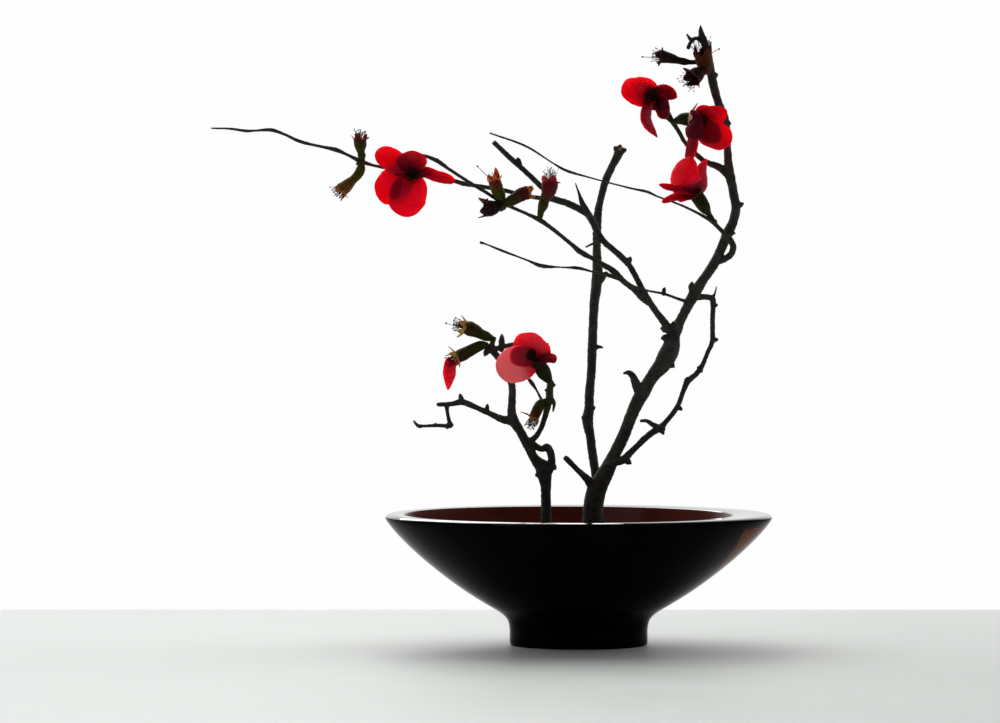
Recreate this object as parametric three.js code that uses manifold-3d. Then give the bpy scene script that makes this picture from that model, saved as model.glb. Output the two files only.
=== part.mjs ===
// An ikebana arrangement of flowering quince: three bare branches with five open blooms and
// twelve spent ones, standing in a pin holder under water in a footed lacquer bowl.
// Millimetres, +Z up. The origin is the middle of the bowl's foot on the surface it stands on,
// -Y is the front of the arrangement and +X its right.

import * as THREE from 'three';
import { mergeVertices } from 'three/addons/utils/BufferGeometryUtils.js';
import Module from 'manifold-3d';

const wasm = await Module();
wasm.setup();

// ---------------------------------------------------------------- driving dimensions

const GAP = 0.3;                  // clearance between neighbouring pieces
const CALYX_ROOM = 1.5;           // gaps that a calyx keeps between its thin edges and what it holds

const BOWL_HEIGHT = 102;
const BOWL_RADIUS = 150;
const FOOT_RADIUS = 53.4;
const OPENING_RADIUS = 127.7;
const OPENING_SHIFT = -7.9;       // the opening lies off centre, so the ledge is wider on the right
const BOWL_FLOOR = 38;
const BOWL_SEGMENTS = 28;
const WATER_LEVEL = 80;

const HOLDER_RADIUS = 36;
const HOLDER_X = -1;
const HOLDER_Y = 4;
const HOLDER_PLATE = 8;
const NEEDLE_LENGTH = 12;
const NEEDLE_PITCH = 13;
const NEEDLE_RADIUS = 0.9;
const NEEDLE_ROOM = 2.2;            // from a stem's side to the middle of the nearest needle
const PLATE_TOP = BOWL_FLOOR + GAP + HOLDER_PLATE;
const NEEDLE_TOP = PLATE_TOP + NEEDLE_LENGTH;
const STEM_FOOT = PLATE_TOP - 1;   // where the stems are drawn from, before their feet are cut flat

const PETAL_THICKNESS = 0.8;
const HUB_RADIUS = 2.6;            // the disc in the middle of a bloom that its petals grow from
const HUB_HEIGHT = 1.6;
const SEPAL_THICKNESS = 0.7;
const CALYX_WALL = 0.9;
const CUP_DEPTH = 0.7;             // depth of a calyx cup, as a share of its mouth radius
const SEPALS = 5;
const FILAMENT_RADIUS = 0.45;
const ANTHER_RADIUS = 0.95;

// The arrangement is laid out as it is seen from the front: a point is given by where it shows
// in the plane through the bowl's axis, and by its depth behind that plane (minus is nearer).
const EYE = new THREE.Vector3(-61, -4800, 340);

// The point where a stem starts, straight under what shows of it.
function footPoint(x, depth, radius) {
  const share = (depth - EYE.y) / -EYE.y;
  return [x, EYE.z + (STEM_FOOT - EYE.z) / share, depth, radius];
}

// ---------------------------------------------------------------- branches
// Each point is [x, z, depth, radius].

const TALL_BRANCH = {
  bark: 0.07,
  limbs: [
    { // the main stem, from the pin holder to its tip
      sides: 6,
      points: [
        footPoint(7.5, -5, 7.2), [9.6, 80, -5, 7.4], [11.7, 110, -6, 7.5], [14.2, 121, -7, 7.2],
        [18.9, 130, -8, 6.5], [24.2, 140, -9, 5.5], [28.8, 150, -10, 4.7], [34.6, 162, -11, 4.7],
        [39.2, 174, -12, 4.6], [44.3, 186, -12.5, 4.9], [49.4, 195.5, -13, 5.4],
        [54.3, 204, -13.5, 4.9], [58.8, 210.5, -14, 5.2], [63.6, 216, -14.5, 6.2],
        [68.2, 223.5, -14.5, 7.2], [71.6, 231, -14.5, 6.7], [73.3, 239.5, -14, 5.2],
        [76.4, 247, -13, 4.5], [79.3, 252.5, -12, 3.6], [84.9, 264, -10, 3.9],
        [88.2, 270, -9, 4.4], [91.6, 276, -7.5, 4.2], [97.6, 285, -5, 3.6], [103.9, 294, -3, 3.8],
        [109.4, 305, 0, 3.6], [114.8, 318, 2, 4], [119.8, 329, 4, 3.6], [121.7, 339, 5.5, 3.5],
        [119.6, 352, 6.5, 3.4], [117, 364.5, 7.5, 3.7], [115.6, 378, 7, 3], [114.7, 392, 6, 2.9],
        [113, 408, 5, 3.2], [108.2, 420, 4, 3.1], [103.4, 438, 2, 3.3], [101.4, 451, 0, 2.9],
        [98.9, 462, -2, 2.6], [96.4, 469, -3, 3], [94.6, 475, -4, 2], [94.2, 481, -4.5, 0.3],
      ],
    },
    { // cut stub low on the left
      sides: 6,
      points: [[11, 123, -8, 4], [5.5, 130, -9, 2.9], [-1, 136, -10, 2.1], [-9.5, 144.6, -11, 2.1],
        [-11.4, 146, -11, 1.6]],
    },
    { // broken stub halfway up, its end curled to the left
      sides: 6,
      points: [[49, 193, -14, 4.4], [44.8, 202, -15, 3.6], [42, 208.5, -16, 2.6],
        [38.8, 211.4, -17, 2], [34.8, 210.8, -18, 0.8]],
    },
    { // left limb, from the burl to its cut end
      sides: 5,
      points: [
        [72, 242, -14.5, 3.4], [65.4, 251.5, -16, 2.9], [60.4, 258, -17, 2.6],
        [55.6, 265, -18, 2.5], [49.3, 276, -19, 2.4], [43, 288, -18.5, 2.2], [38.8, 295, -18, 2.3],
        [33.2, 301, -17, 2.4], [26.8, 306.6, -16, 2.3], [20, 312.4, -15, 2.4],
        [14.6, 320, -14.5, 2.5], [11.2, 328, -14.5, 2.8], [6.5, 334.6, -15, 2.9],
        [0, 338.4, -15.5, 2.7], [-10, 343.1, -16, 2.6], [-19, 345.8, -17, 2.5],
        [-25, 351.5, -18, 2.2], [-40, 366, -24, 2], [-53, 377.6, -29, 2], [-66.3, 390.3, -33, 1.9],
      ],
    },
    { // long left twig, carrying the leftmost bloom
      sides: 4,
      points: [
        [-17, 345.6, -17, 2.3], [-31, 346.8, -20, 1.7], [-42, 348.5, -22, 1.6],
        [-57, 352.4, -24, 1.7], [-82, 356.6, -27, 1.6], [-90, 357.9, -27.5, 1.8],
        [-103, 362, -28, 1.5], [-120, 365, -28, 1.4], [-137, 367.5, -28, 1.4],
        [-150, 370, -27, 1.3], [-160, 372.2, -26, 1.2], [-168, 374.8, -25, 1.7],
        [-180, 380.5, -23, 1.2], [-187.5, 383.8, -22, 1.7], [-200, 386.6, -20, 1.1],
        [-215.8, 390.4, -17, 1.4], [-228, 396, -14, 1.1], [-238, 399.3, -12, 1.5],
        [-250, 398.9, -9, 0.9], [-257, 398.6, -7, 1.2], [-270, 400.3, -4, 0.9],
        [-284.3, 400.7, 0, 0.7],
      ],
    },
    { // thinner left twig below it
      sides: 4,
      points: [
        [55, 265, -18, 2.4], [49, 269.5, -19.5, 2.5], [42.7, 276, -21, 2.3], [35, 282, -22.5, 2.2],
        [26.5, 290.4, -24.5, 2.4], [17, 296, -27, 1.9], [10, 300.2, -29, 1.7],
        [1.5, 304.8, -31, 2.1], [-7, 312, -34, 1.6], [-22, 324, -38, 1.6], [-30, 329.5, -40, 1.9],
        [-40, 334.3, -42, 1.3], [-59, 343, -44, 1.5], [-71, 350.5, -45, 1.3], [-83, 357.8, -44, 1.3],
        [-100, 368.7, -39, 1.3], [-110, 375.6, -33, 1.7], [-120, 379.5, -28, 1.2],
        [-128, 380.5, -25, 0.8],
      ],
    },
    { // fine upper twig that loops round the main stem
      sides: 4,
      points: [
        [107, 297, -1, 2.3], [112.5, 299, -2, 2.4], [117.5, 302.6, -3, 2.5], [119.8, 308, -4.5, 2.5],
        [118, 313.5, -5.5, 2.3], [113.5, 318.5, -6.5, 1.9], [108, 324, -8, 1.6],
        [104, 328, -10, 1.7], [97, 332.4, -13, 1.3], [80, 340.8, -18, 0.9], [60, 348.3, -22, 0.8],
        [53.9, 351.2, -23, 1.1], [40, 354.3, -24, 0.8], [10, 362.1, -27, 0.7],
        [-10.5, 368.3, -30, 1.1], [-20, 373.7, -32, 0.7], [-41, 386.8, -36, 0.9],
        [-68.8, 396.9, -42, 0.7],
      ],
    },
    { // fine lower twig
      sides: 4,
      points: [
        [86, 266, -10, 2], [80, 267.6, -14, 1.3], [66, 272.4, -20, 1], [52.9, 275, -26, 0.9],
        [46, 276.8, -28, 1.1], [35.3, 281.9, -31, 1], [23.5, 286.8, -33, 1.7],
        [11, 289.5, -34, 0.8], [0.3, 292.3, -35, 1.3], [-14, 293.1, -36, 0.7],
        [-29, 294.2, -38, 1.6], [-40, 298.5, -39, 0.8], [-61.5, 306.7, -41, 1],
        [-72, 311, -42, 0.7], [-76, 312.2, -42, 1.1],
      ],
    },
    { // right loop, which leaves the stem low and joins it again
      sides: 4,
      points: [
        [20.5, 138.6, -12.5, 2], [27, 141.5, -14, 2.9], [34, 143.4, -14, 3], [40.8, 150, -13, 2.5],
        [47, 156, -12, 2.4], [52, 161, -11, 2.5], [58, 165.5, -10, 2.6], [63.5, 169, -9, 2.6],
        [68.3, 174, -8, 2], [73.6, 180.5, -7, 2], [77, 186, -6, 1.9], [81.5, 198, -4, 2],
        [84.5, 204.5, -3, 2.4], [90, 209.3, -2, 2.1], [95, 215.5, -1, 1.9], [100.4, 228, 0, 1.7],
        [103.4, 235, 0, 1.9], [103.7, 250, 0, 1.9], [104, 264, -2, 2], [103.6, 268.6, -3, 2.4],
        [98, 270, -5, 2.2], [90, 269.6, -7, 2.6],
      ],
    },
    { // spur on the right loop
      sides: 5,
      points: [[65, 167.5, -10, 2.4], [57, 171.4, -12, 1.9], [52.5, 174, -13, 1.4],
        [47.4, 173.8, -14, 1.2]],
    },
    { // side limb near the top, which carries two blooms
      sides: 5,
      points: [
        [117, 362, 7, 2.6], [110, 369.8, 8, 2.9], [103, 372.8, 8, 2.4], [97, 375.5, 7.5, 2],
        [91.5, 380, 7, 1.9], [82, 390, 5, 1.6], [78.7, 396, 4, 1.6], [75, 402, 2, 1.7],
        [72.6, 405.4, 0, 2],
      ],
    },
    { // forked spur behind the tip
      sides: 5,
      points: [[97.5, 466, -3, 2], [91, 470.4, -4, 1.5], [87.3, 469, -5, 1.6], [83.4, 473.6, -6, 0.6]],
    },
    { sides: 5, points: [[88.2, 469.5, -5, 1.4], [85.6, 465.4, -6, 1.4], [84.8, 463.2, -7, 1.6]] },
    { sides: 5, points: [[12.5, 325, -15, 2.4], [6.4, 336.4, -18, 2.2], [2.4, 343.4, -20, 2],
      [0.4, 349.6, -21, 1.1], [-2.6, 358.2, -22, 0.5]] },
    { sides: 5, points: [[18, 313.8, -16, 1.5], [11.5, 311.6, -20, 1], [5.4, 308.6, -23, 0.7]] },
    { sides: 4, points: [[66, 272, -20, 1.4], [66.2, 275.8, -20.5, 1.6], [66.8, 277, -20.5, 0.8]] },
    { sides: 4, points: [[103.6, 269, -3, 1.6], [105.4, 272.6, -4, 0.9], [106.8, 278, -5, 0.5]] },
  ],
  // buds and knots: [x, z, depth, radius, how far it reaches in x, in z]
  buds: [
    [69, 245, -16, 2.6, -4.6, 0.6], [70.5, 219, -15, 2.4, 3, -3], [88.2, 275, -10, 2.6, -0.6, 5.6],
    [122.6, 340.5, 4, 2.2, 4.4, 1.8], [117.5, 320, 1, 1.8, 3.2, -0.6], [38.6, 297, -18, 2, 1.4, 3.6],
    [-46, 374, -27, 1.7, -1.4, 3.6], [83.4, 203.6, -3.5, 1.8, 0.8, 3.8], [93.6, 214.4, -1, 1.6, 2, -2.4],
    [77.4, 184.6, -6, 1.6, 2.6, -2], [63.5, 168, -9, 2, 2.2, -4], [104.4, 236.4, 0, 1.6, 3.4, 0.8],
    [104.6, 441.4, 1.5, 2, 2.6, 1],
  ],
};

const UPRIGHT_BRANCH = {
  bark: 0.06,
  limbs: [
    {
      sides: 6,
      points: [
        footPoint(17.5, 15, 3.4), [16.5, 97, 15, 3.5], [14.2, 125, 15, 3.5], [10.5, 150, 16, 3.4],
        [8.8, 163, 16.5, 3.5], [7.3, 171, 17, 4], [7, 176, 17, 4.4], [7.9, 182, 17, 3.8],
        [8.4, 195, 17, 3.5], [9.8, 213, 18, 3.4], [10.5, 231, 18, 3.5], [11.3, 252, 19, 3.4],
        [12.3, 267, 19.5, 3.6], [13.8, 279, 20, 4.1], [14.6, 290, 20, 4], [14, 304, 20.5, 3.2],
        [14.3, 322, 21, 3.2], [15.2, 337, 21.5, 3], [18.3, 351, 22.5, 2.7], [21, 360.5, 23, 2.9],
        [26.2, 372, 23.5, 2.9], [29.4, 378, 24, 3.3], [32, 383.8, 24, 4],
      ],
    },
    { sides: 5, points: [[12, 230.5, 18, 2.4], [15.8, 231.4, 17, 1.4], [18.4, 230.8, 16.5, 0.8]] },
    { sides: 6, points: [[14, 280, 20, 3], [18, 285, 18.5, 2.8], [21.4, 288.4, 17.5, 1.6]] },
  ],
  buds: [[5, 175.6, 16, 2, -2.2, 1.4], [9.6, 183, 16, 1.8, 2.8, 1.6], [13, 320, 19, 1.8, 2, 3]],
};

const LOW_BRANCH = {
  bark: 0.06,
  limbs: [
    { // stem, left arm and the upright that rises behind the pale bloom
      sides: 6,
      points: [
        footPoint(-25.5, 0, 3.8), [-25.3, 97, 0, 3.9], [-25.5, 122, -1, 3.9],
        [-26.2, 130.5, -1.5, 5.2], [-28, 137.6, -2, 5.8], [-33.4, 143.6, -3, 3.9],
        [-37.2, 150, -4, 3.4], [-43.3, 162, -6, 3.4], [-46.6, 168, -7, 3.5], [-50.4, 174, -8, 3.9],
        [-51.9, 181, -8, 3.3], [-51.6, 190, -7.5, 2.9], [-51.6, 200, -6.5, 2.7],
        [-55, 212, -5, 2.7], [-60.5, 220.5, -4, 2.6], [-65, 226, -3, 2.5], [-68.8, 229.8, -3, 2.5],
      ],
    },
    { // right arm, curled back to the left arm
      sides: 6,
      points: [
        [-25, 134, -2, 4.4], [-21.6, 139, -2, 3.4], [-20.9, 144.6, -2.5, 2.8],
        [-22.2, 150.5, -3, 2.9], [-25, 153.8, -3.5, 2.8], [-28.6, 152, -4, 2.3],
        [-32.6, 154, -5, 2.3], [-38.6, 158.4, -5.5, 2.6],
      ],
    },
    { // twig with the green shoot under the pale bloom
      sides: 5,
      points: [
        [-40, 156.5, -5, 2.6], [-33.5, 161.5, -7, 2.2], [-29.4, 168, -9, 2], [-27, 174, -10, 2.1],
        [-25, 181, -11, 2.3], [-23.6, 187, -12, 2.7], [-22.6, 193, -12.5, 3], [-22.4, 199, -13, 2.7],
        [-21.8, 203.5, -13.5, 2.7],
      ],
    },
    { // left side branch
      sides: 6,
      points: [
        [-49.6, 173.6, -8, 3.6], [-60, 175.5, -9, 2.9], [-65, 177.8, -10, 2.3],
        [-80, 184.6, -12, 2.1], [-86, 187.3, -13, 2.4], [-91, 188.6, -13.5, 2.3],
        [-98, 187.2, -14, 1.9], [-108.8, 186.7, -14, 1.6],
      ],
    },
    { // its hanging twig
      sides: 4,
      points: [
        [-102.6, 187, -14, 1.7], [-101.5, 179, -13.5, 1.4], [-100, 172.6, -13, 1.6],
        [-98.6, 170.4, -12.5, 1.9], [-104, 170.2, -12, 1.5], [-111, 170.4, -12, 1.4],
        [-119, 170, -12, 1.2], [-124.5, 170.1, -12, 1.4], [-127.8, 173.8, -12, 0.8],
      ],
    },
    { sides: 5, points: [[-69, 229, -3, 2], [-60, 231, -3, 1.9], [-50.6, 233.4, -3, 1.7]] },
    { sides: 5, points: [[-68, 229, -3, 2.4], [-67, 234, -3.5, 2], [-65.8, 237.6, -4, 1.9]] },
    { sides: 4, points: [[-25, 186, -12, 1.6], [-29.4, 191.6, -12.6, 1.1], [-32.5, 197.5, -13.5, 0.9],
      [-36.8, 204, -15, 1.6], [-39.8, 207.4, -15.5, 0.8]] },
    { sides: 5, points: [[-22.4, 192, -12.6, 2], [-19, 188, -14, 1.5], [-20, 181.4, -15, 0.7]] },
  ],
  buds: [
    [-90.4, 189.4, -13.5, 1.7, -1.6, 5], [-71, 182, -11, 1.5, 0.2, 4.6], [-60, 231, -3, 1.9, 0.6, 9],
    [-30.5, 132.6, -2, 2, -2.6, -1], [-101.6, 170.4, -12.6, 1.5, -0.4, -2.4],
    [-70.4, 229.6, -4, 2.2, -2.4, -4.6], [-20.4, 201.6, -14, 1.6, 2.2, 0.4],
  ],
};

// ---------------------------------------------------------------- blooms
// Calyx points are [x, z, depth, radius]. A petal grows from the hub and follows the points of
// its path, each [x, z, depth], to its tip. axis, the way a bloom opens, and face, the way a
// petal's inside looks, are directions [x, y, z].

const BLOOMS = {
  bloom_left: {
    calyx: [[-129.6, 366.2, -29, 2.2], [-129.4, 366, -33, 3.4], [-129.2, 365.8, -36, 4.6]],
    sepals: { length: 5, flare: 1.4 },
    hub: [-129.2, 365.6, -37],
    axis: [0, -1, -0.1],
    stamens: { count: 8, length: 8.5, spread: 0.75, core: 1.7 },
    petals: [
      { path: [[-139.6, 372.4, -36], [-148, 377.8, -37.4], [-157.6, 381.4, -40]],
        width: 18, face: [0.2, -1, 0], blunt: 0.4, claw: 0.5 },
      { path: [[-129.6, 372, -38.6], [-129.6, 377.6, -40], [-129.8, 383.2, -43]],
        width: 24, face: [0, -1, -0.2], blunt: 0.4, claw: 0.3 },
      { path: [[-118.9, 366, -37], [-108.3, 362.6, -38.4], [-96.4, 359.4, -41]],
        width: 9.6, face: [0, -1, 0.4], blunt: 0.6, claw: 1 },
      { path: [[-138.6, 360.2, -37], [-147.6, 354.6, -37], [-157.8, 352, -39]],
        width: 27, face: [0.2, -1, 0], blunt: 0.4, claw: 0.35 },
      { path: [[-130.6, 355, -41], [-133, 345, -44], [-133.8, 332, -49]],
        width: 29, face: [0, -1, 0.2], blunt: 0.4, claw: 0.3 },
    ],
  },
  bloom_upper: {
    calyx: [[72.4, 406, -0.6, 1.9], [68.6, 410.6, -4, 3.2], [65.6, 414.2, -6, 4.4], [63, 417.6, -8, 4.8]],
    sepals: { length: 5.5, flare: 0.6 },
    hub: [61.6, 419.6, -9],
    axis: [-0.62, -0.3, 0.72],
    stamens: { count: 6, length: 11, spread: 0.5, core: 1.7 },
    petals: [
      { path: [[52, 425.6, -6], [43, 429.4, -5], [32.8, 430.4, -6]],
        width: 21, face: [-0.1, -1, 0.1], blunt: 0.4, claw: 0.3 },
      { path: [[62.6, 425.4, -7], [68, 427.6, -6], [76, 424.4, -5]],
        width: 15, face: [0.1, -1, 0.25], blunt: 0.1, claw: 0.9, widest: 0.35 },
      { path: [[64.4, 419.6, -15.4], [66.4, 415, -17.4], [66.2, 407.6, -17]],
        width: 14, face: [-0.6, -0.7, 0.2], blunt: 0.6, claw: 0.8 },
      { path: [[55.4, 418.2, -16], [52.8, 408, -19.4], [60.9, 393.5, -18]],
        width: 12, face: [-0.7, -0.7, 0], blunt: 0.05, widest: 0.46 },
      { path: [[54.4, 428.6, 0], [48, 431.6, 4], [40, 431.4, 7]],
        width: 19, face: [-0.3, -1, 0], blunt: 0.4 },
    ],
  },
  bloom_right: {
    calyx: [[73.4, 405.6, -1.2, 1.9], [77.4, 407, -3.6, 3.5], [81, 407.8, -6, 4.9], [86, 407.6, -8, 5.3]],
    sepals: { length: 5, flare: 0.5, tips: [[92.4, 420, -12]] },
    hub: [88, 407.5, -9.4],
    axis: [0.78, -0.62, -0.05],
    stamens: { count: 7, length: 9, spread: 0.5, core: 1.7 },
    petals: [
      { path: [[96, 412.4, -9.4], [105, 413.6, -9], [115, 413, -11]],
        width: 14, face: [0.2, -0.8, -0.5], cup: 0.4, blunt: 0.6, claw: 0.45, widest: 0.75 },
      { path: [[96, 400.4, -13], [105, 393.8, -15], [116.8, 387.4, -20]],
        width: 25, face: [0.3, -1, 0.3], cup: 0.35, blunt: 0.45, claw: 0.3 },
      { path: [[88.6, 398, -13.4], [87.2, 388, -14], [84.4, 376.6, -13]],
        width: 11, face: [0.6, -0.8, 0], blunt: 0.8, claw: 0.6 },
      { path: [[88.4, 407, -17], [88.6, 401.4, -22], [89.4, 391.6, -23]],
        width: 15, face: [0.3, 0.95, 0.2], blunt: 0.6, claw: 0.8 },
      { path: [[94, 411, -2.6], [99, 411, -0.8], [104, 409.6, -0.6]],
        width: 15, face: [0.6, -0.8, 0], blunt: 0.4 },
    ],
  },
  bloom_middle: {
    calyx: [[103.6, 330.6, -10.8, 1.6], [100.6, 334.6, -11, 2.4], [98.2, 338.2, -11.4, 4.4],
      [95.2, 342.8, -12, 5.3], [91.8, 348, -12, 5.3]],
    sepals: { length: 3.4, flare: 0.4 },
    hub: [90.7, 350, -12],
    axis: [-0.42, -0.12, 0.9],
    stamens: { count: 7, length: 9, spread: 0.3, core: 1.7 },
    petals: [
      { path: [[83.6, 354.6, -20], [81.8, 365, -23], [87, 378.6, -21]],
        width: 25, face: [0.35, 1, -0.1], blunt: 0.25, widest: 0.35, claw: 0.8 },
      { path: [[95, 356, -14], [95.8, 367, -14], [99, 377, -12]],
        width: 15, face: [-0.6, 0.8, 0.2], blunt: 0.05, widest: 0.4, claw: 0.8 },
      { path: [[81.6, 351.6, -21.6], [72, 353.6, -27], [62, 356.6, -28]],
        width: 9, face: [0, -0.7, 0.7], blunt: 0.3, claw: 0.8 },
      { path: [[82.6, 346.8, -20.6], [74, 346.4, -26], [64.6, 343, -28]],
        width: 9, face: [0, -0.7, 0.7], blunt: 0.3, claw: 0.8 },
      { path: [[91.6, 358, -4], [91.6, 365, -1], [91.4, 371, -2]],
        width: 16, face: [-0.2, -1, -0.1], blunt: 0.4 },
    ],
  },
  bloom_low: {
    calyx: [[-22.2, 204.2, -13.6, 2.4], [-24.6, 207.8, -14.4, 4.3], [-27.4, 212, -15.4, 5.7],
      [-30.4, 217.6, -16.4, 5.5]],
    sepals: { length: 6, flare: 0.5 },
    hub: [-32, 219.8, -17],
    axis: [-0.5, -0.5, 0.55],
    stamens: { count: 7, length: 9, spread: 0.5, core: 1.7 },
    petals: [
      { path: [[-35, 228, -19], [-36.4, 235, -20], [-35.6, 242.4, -23]],
        width: 29, face: [-0.2, -1, -0.3], cup: 0.25, blunt: 0.4, widest: 0.42, claw: 0.6 },
      { path: [[-43, 218.8, -23], [-53, 216.4, -25], [-64.2, 215.4, -29]],
        width: 28, face: [-0.1, -1, 0.1], cup: 0.25, blunt: 0.4, widest: 0.54, claw: 0.3 },
      { path: [[-26, 222, -22], [-21.6, 222, -23], [-17.2, 220.6, -23]],
        width: 8, face: [0.1, -1, 0.4], cup: 0.5, blunt: 0.6, claw: 0.6 },
      { path: [[-31, 227, -9], [-33, 233, -6], [-33.6, 238.6, -6]],
        width: 17, face: [-0.3, -1, 0.2], blunt: 0.4 },
    ],
  },
};

// Spent blooms have dropped their petals. The calyx opens at its last point; tips are where
// single sepals end, and the other sepals of the five follow the length and flare.
const SPENT = {
  spent_far_up: {
    calyx: [[-168, 377.4, -25, 2.6], [-168.1, 379.4, -25, 3.2], [-168.6, 382.2, -25, 2.9],
      [-169.2, 386.6, -25, 4.5], [-169.4, 391.4, -25, 4.9]],
    sepals: { length: 4.6, flare: 0.1,
      tips: [[-175.6, 395, -25], [-163, 393.6, -26], [-171, 396.4, -20.6]] },
    stamens: { count: 6, length: 9, spread: 0.4, core: 2.6 },
  },
  spent_far_down: {
    calyx: [[-168.2, 373.6, -26, 2.2], [-168.8, 369.2, -26.8, 3.6], [-171, 364.8, -27.2, 3.6],
      [-174.4, 361.2, -27.6, 3.4], [-178.6, 357.4, -28, 4.6], [-183.2, 353.6, -28, 5.4]],
    sepals: { length: 4.8, flare: 0.1, tips: [[-189.6, 353.8, -28], [-179.4, 347, -28]] },
    stamens: { count: 6, length: 9, spread: 0.55, core: 2.8 },
  },
  spent_mid_up: {
    calyx: [[-59, 345.6, -45.6, 2.6], [-60.4, 348, -46, 4.2], [-62.6, 351.8, -46, 4.8],
      [-64, 355.8, -46, 5.1], [-65, 359.6, -46, 4.9]],
    sepals: { length: 5, flare: 0.1,
      tips: [[-64.8, 370, -41.4], [-60.4, 364, -50.4], [-69.8, 362.6, -46]] },
    stamens: { count: 6, length: 8, spread: 0.45, core: 2.4, style: [-78.4, 371.2, -46] },
  },
  spent_mid_left: {
    calyx: [[-60, 341.8, -45.2, 2.3], [-63.2, 340.4, -47.6, 4.4], [-67.2, 339, -48.6, 6.1],
      [-71.2, 338.6, -49, 6.2]],
    sepals: { length: 5.4, flare: 0.5,
      tips: [[-77.6, 331.9, -49], [-69.3, 330.6, -50], [-70, 345.6, -50], [-77, 340.4, -54.6]] },
    stamens: { count: 6, length: 6, spread: 0.5, core: 2.6 },
  },
  spent_mid_right: {
    calyx: [[-57, 341.8, -46, 2.4], [-53.4, 344, -48.4, 4.1], [-48.8, 346.6, -49, 4.6],
      [-44.4, 349.4, -49.2, 5.3], [-39.6, 351, -49.4, 5.2]],
    sepals: { length: 4.6, flare: 0.1, tips: [[-35.4, 355.4, -49.6]] },
    stamens: { count: 6, length: 5, spread: 0.4, core: 2.4 },
  },
  spent_near_up: {
    calyx: [[-30, 332, -41, 2.2], [-29.2, 336.6, -42, 2.8], [-27.6, 341, -43, 4],
      [-26.4, 345.6, -43.4, 3.9], [-24, 350.2, -44, 5.2], [-22.8, 354.6, -44.2, 6.3],
        [-22.4, 359, -44.4, 6.1]],
    sepals: { length: 4.6, flare: 0.05, tips: [[-14, 358.4, -45], [-26.8, 362.8, -46]] },
    stamens: { count: 6, length: 12, spread: 0.3, core: 3 },
  },
  spent_top_left: {
    calyx: [[91.2, 451.9, -8.6, 1.8], [86, 451.8, -8.6, 1.9], [82, 452.2, -8.8, 2.8], [77, 453.2, -9, 2.8],
      [72.6, 454.4, -9.6, 3.7], [68.6, 455.4, -10, 4.4], [64.4, 456.2, -10.6, 5.4]],
    sepals: { length: 4.4, flare: 0.4, tips: [[64.4, 463, -10], [61.6, 449.6, -11]] },
    stamens: { count: 6, length: 9, spread: 0.5, core: 2.8, style: [49.3, 455.9, -11] },
  },
  spent_top_right: {
    calyx: [[100, 444, -5, 2.4], [99, 446.4, -7.4, 4.8], [97.6, 451, -9.4, 6.6], [96.4, 456.4, -10.4, 6.8]],
    sepals: { length: 6, flare: 0.35, tips: [[90.4, 464.4, -10], [101.6, 466.6, -11]] },
    stamens: { count: 6, length: 15, spread: 0.6, core: 2.8, style: [108.6, 462, -14] },
  },
  spent_top_under: {
    calyx: [[97, 445, -9.6, 2.2], [94.8, 444.2, -13, 4.2], [92, 442.6, -15.6, 5.8],
      [89, 440.2, -17.4, 6.4]],
    sepals: { length: 5.4, flare: 0.7, tips: [[81, 447, -19], [83.4, 434.8, -20]] },
    stamens: { count: 7, length: 12, spread: 0.6, core: 2.5 },
  },
  spent_low_up: {
    calyx: [[-66.8, 237.8, -4.4, 2.1], [-71.4, 239.4, -6, 3.8], [-76, 241.4, -6.8, 4.1],
      [-80.4, 243.9, -7.6, 5.2], [-84.2, 245.4, -8, 5.8], [-87.4, 246.4, -8.4, 5.1]],
    sepals: { length: 6, flare: 0.1, tips: [[-91, 255, -8], [-94.2, 239.4, -8.6]] },
    stamens: { count: 7, length: 11, spread: 0.35, core: 2.8, style: [-102.8, 249.6, -9] },
  },
  spent_low_down: {
    calyx: [[-71.6, 233, -6, 2.2], [-75.6, 232.4, -8.4, 3.8], [-80, 230.6, -10, 4.2],
      [-85, 228, -11, 4.6], [-89.6, 225.6, -11.6, 5], [-93.6, 223.6, -12, 4.8]],
    sepals: { length: 5.4, flare: 0.2, tips: [[-101, 231.6, -12], [-100.2, 225.6, -16.4],
      [-92.6, 216, -13]] },
    stamens: { count: 6, length: 10, spread: 0.45, core: 2.8 },
    petal: { root: [-96.6, 221.4, -13.4], path: [[-98.6, 216.4, -14], [-99.6, 208, -14.6],
      [-101.2, 197.8, -14]],
      width: 12.5, face: [-0.6, -0.8, 0], blunt: 0.05, claw: 0.7, widest: 0.4 },
  },
  spent_shoot: {
    calyx: [[-26.4, 189.4, -13.6, 2], [-29.4, 187, -15.4, 3.8], [-32, 182.4, -16.4, 4.2],
      [-34.2, 177.4, -17, 3.9]],
    sepals: { length: 5, flare: 0.1, tips: [[-45, 180.8, -17]] },
    stamens: { count: 7, length: 10, spread: 0.3, core: 2.2 },
  },
};

// ---------------------------------------------------------------- colours

const finish = (color, roughness, metalness = 0) =>
  new THREE.MeshStandardMaterial({ color, roughness, metalness });

const LACQUER = finish(0x0b0a09, 0.15);
const WATER = finish(0x9fb0ae, 0.05);
const METAL = finish(0x6f6a55, 0.5, 0.8);
const BARK = finish(0x26241f, 0.85);
const PETAL_RED = finish(0xd3101c, 0.55);
const PETAL_PALE = finish(0xe2415c, 0.55);
const CALYX_GREEN = finish(0x3c4412, 0.6);
const CALYX_SPENT = finish(0x6b4a1c, 0.7);
const STAMEN_DARK = finish(0x2a1410, 0.8);

// ---------------------------------------------------------------- solids

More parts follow.
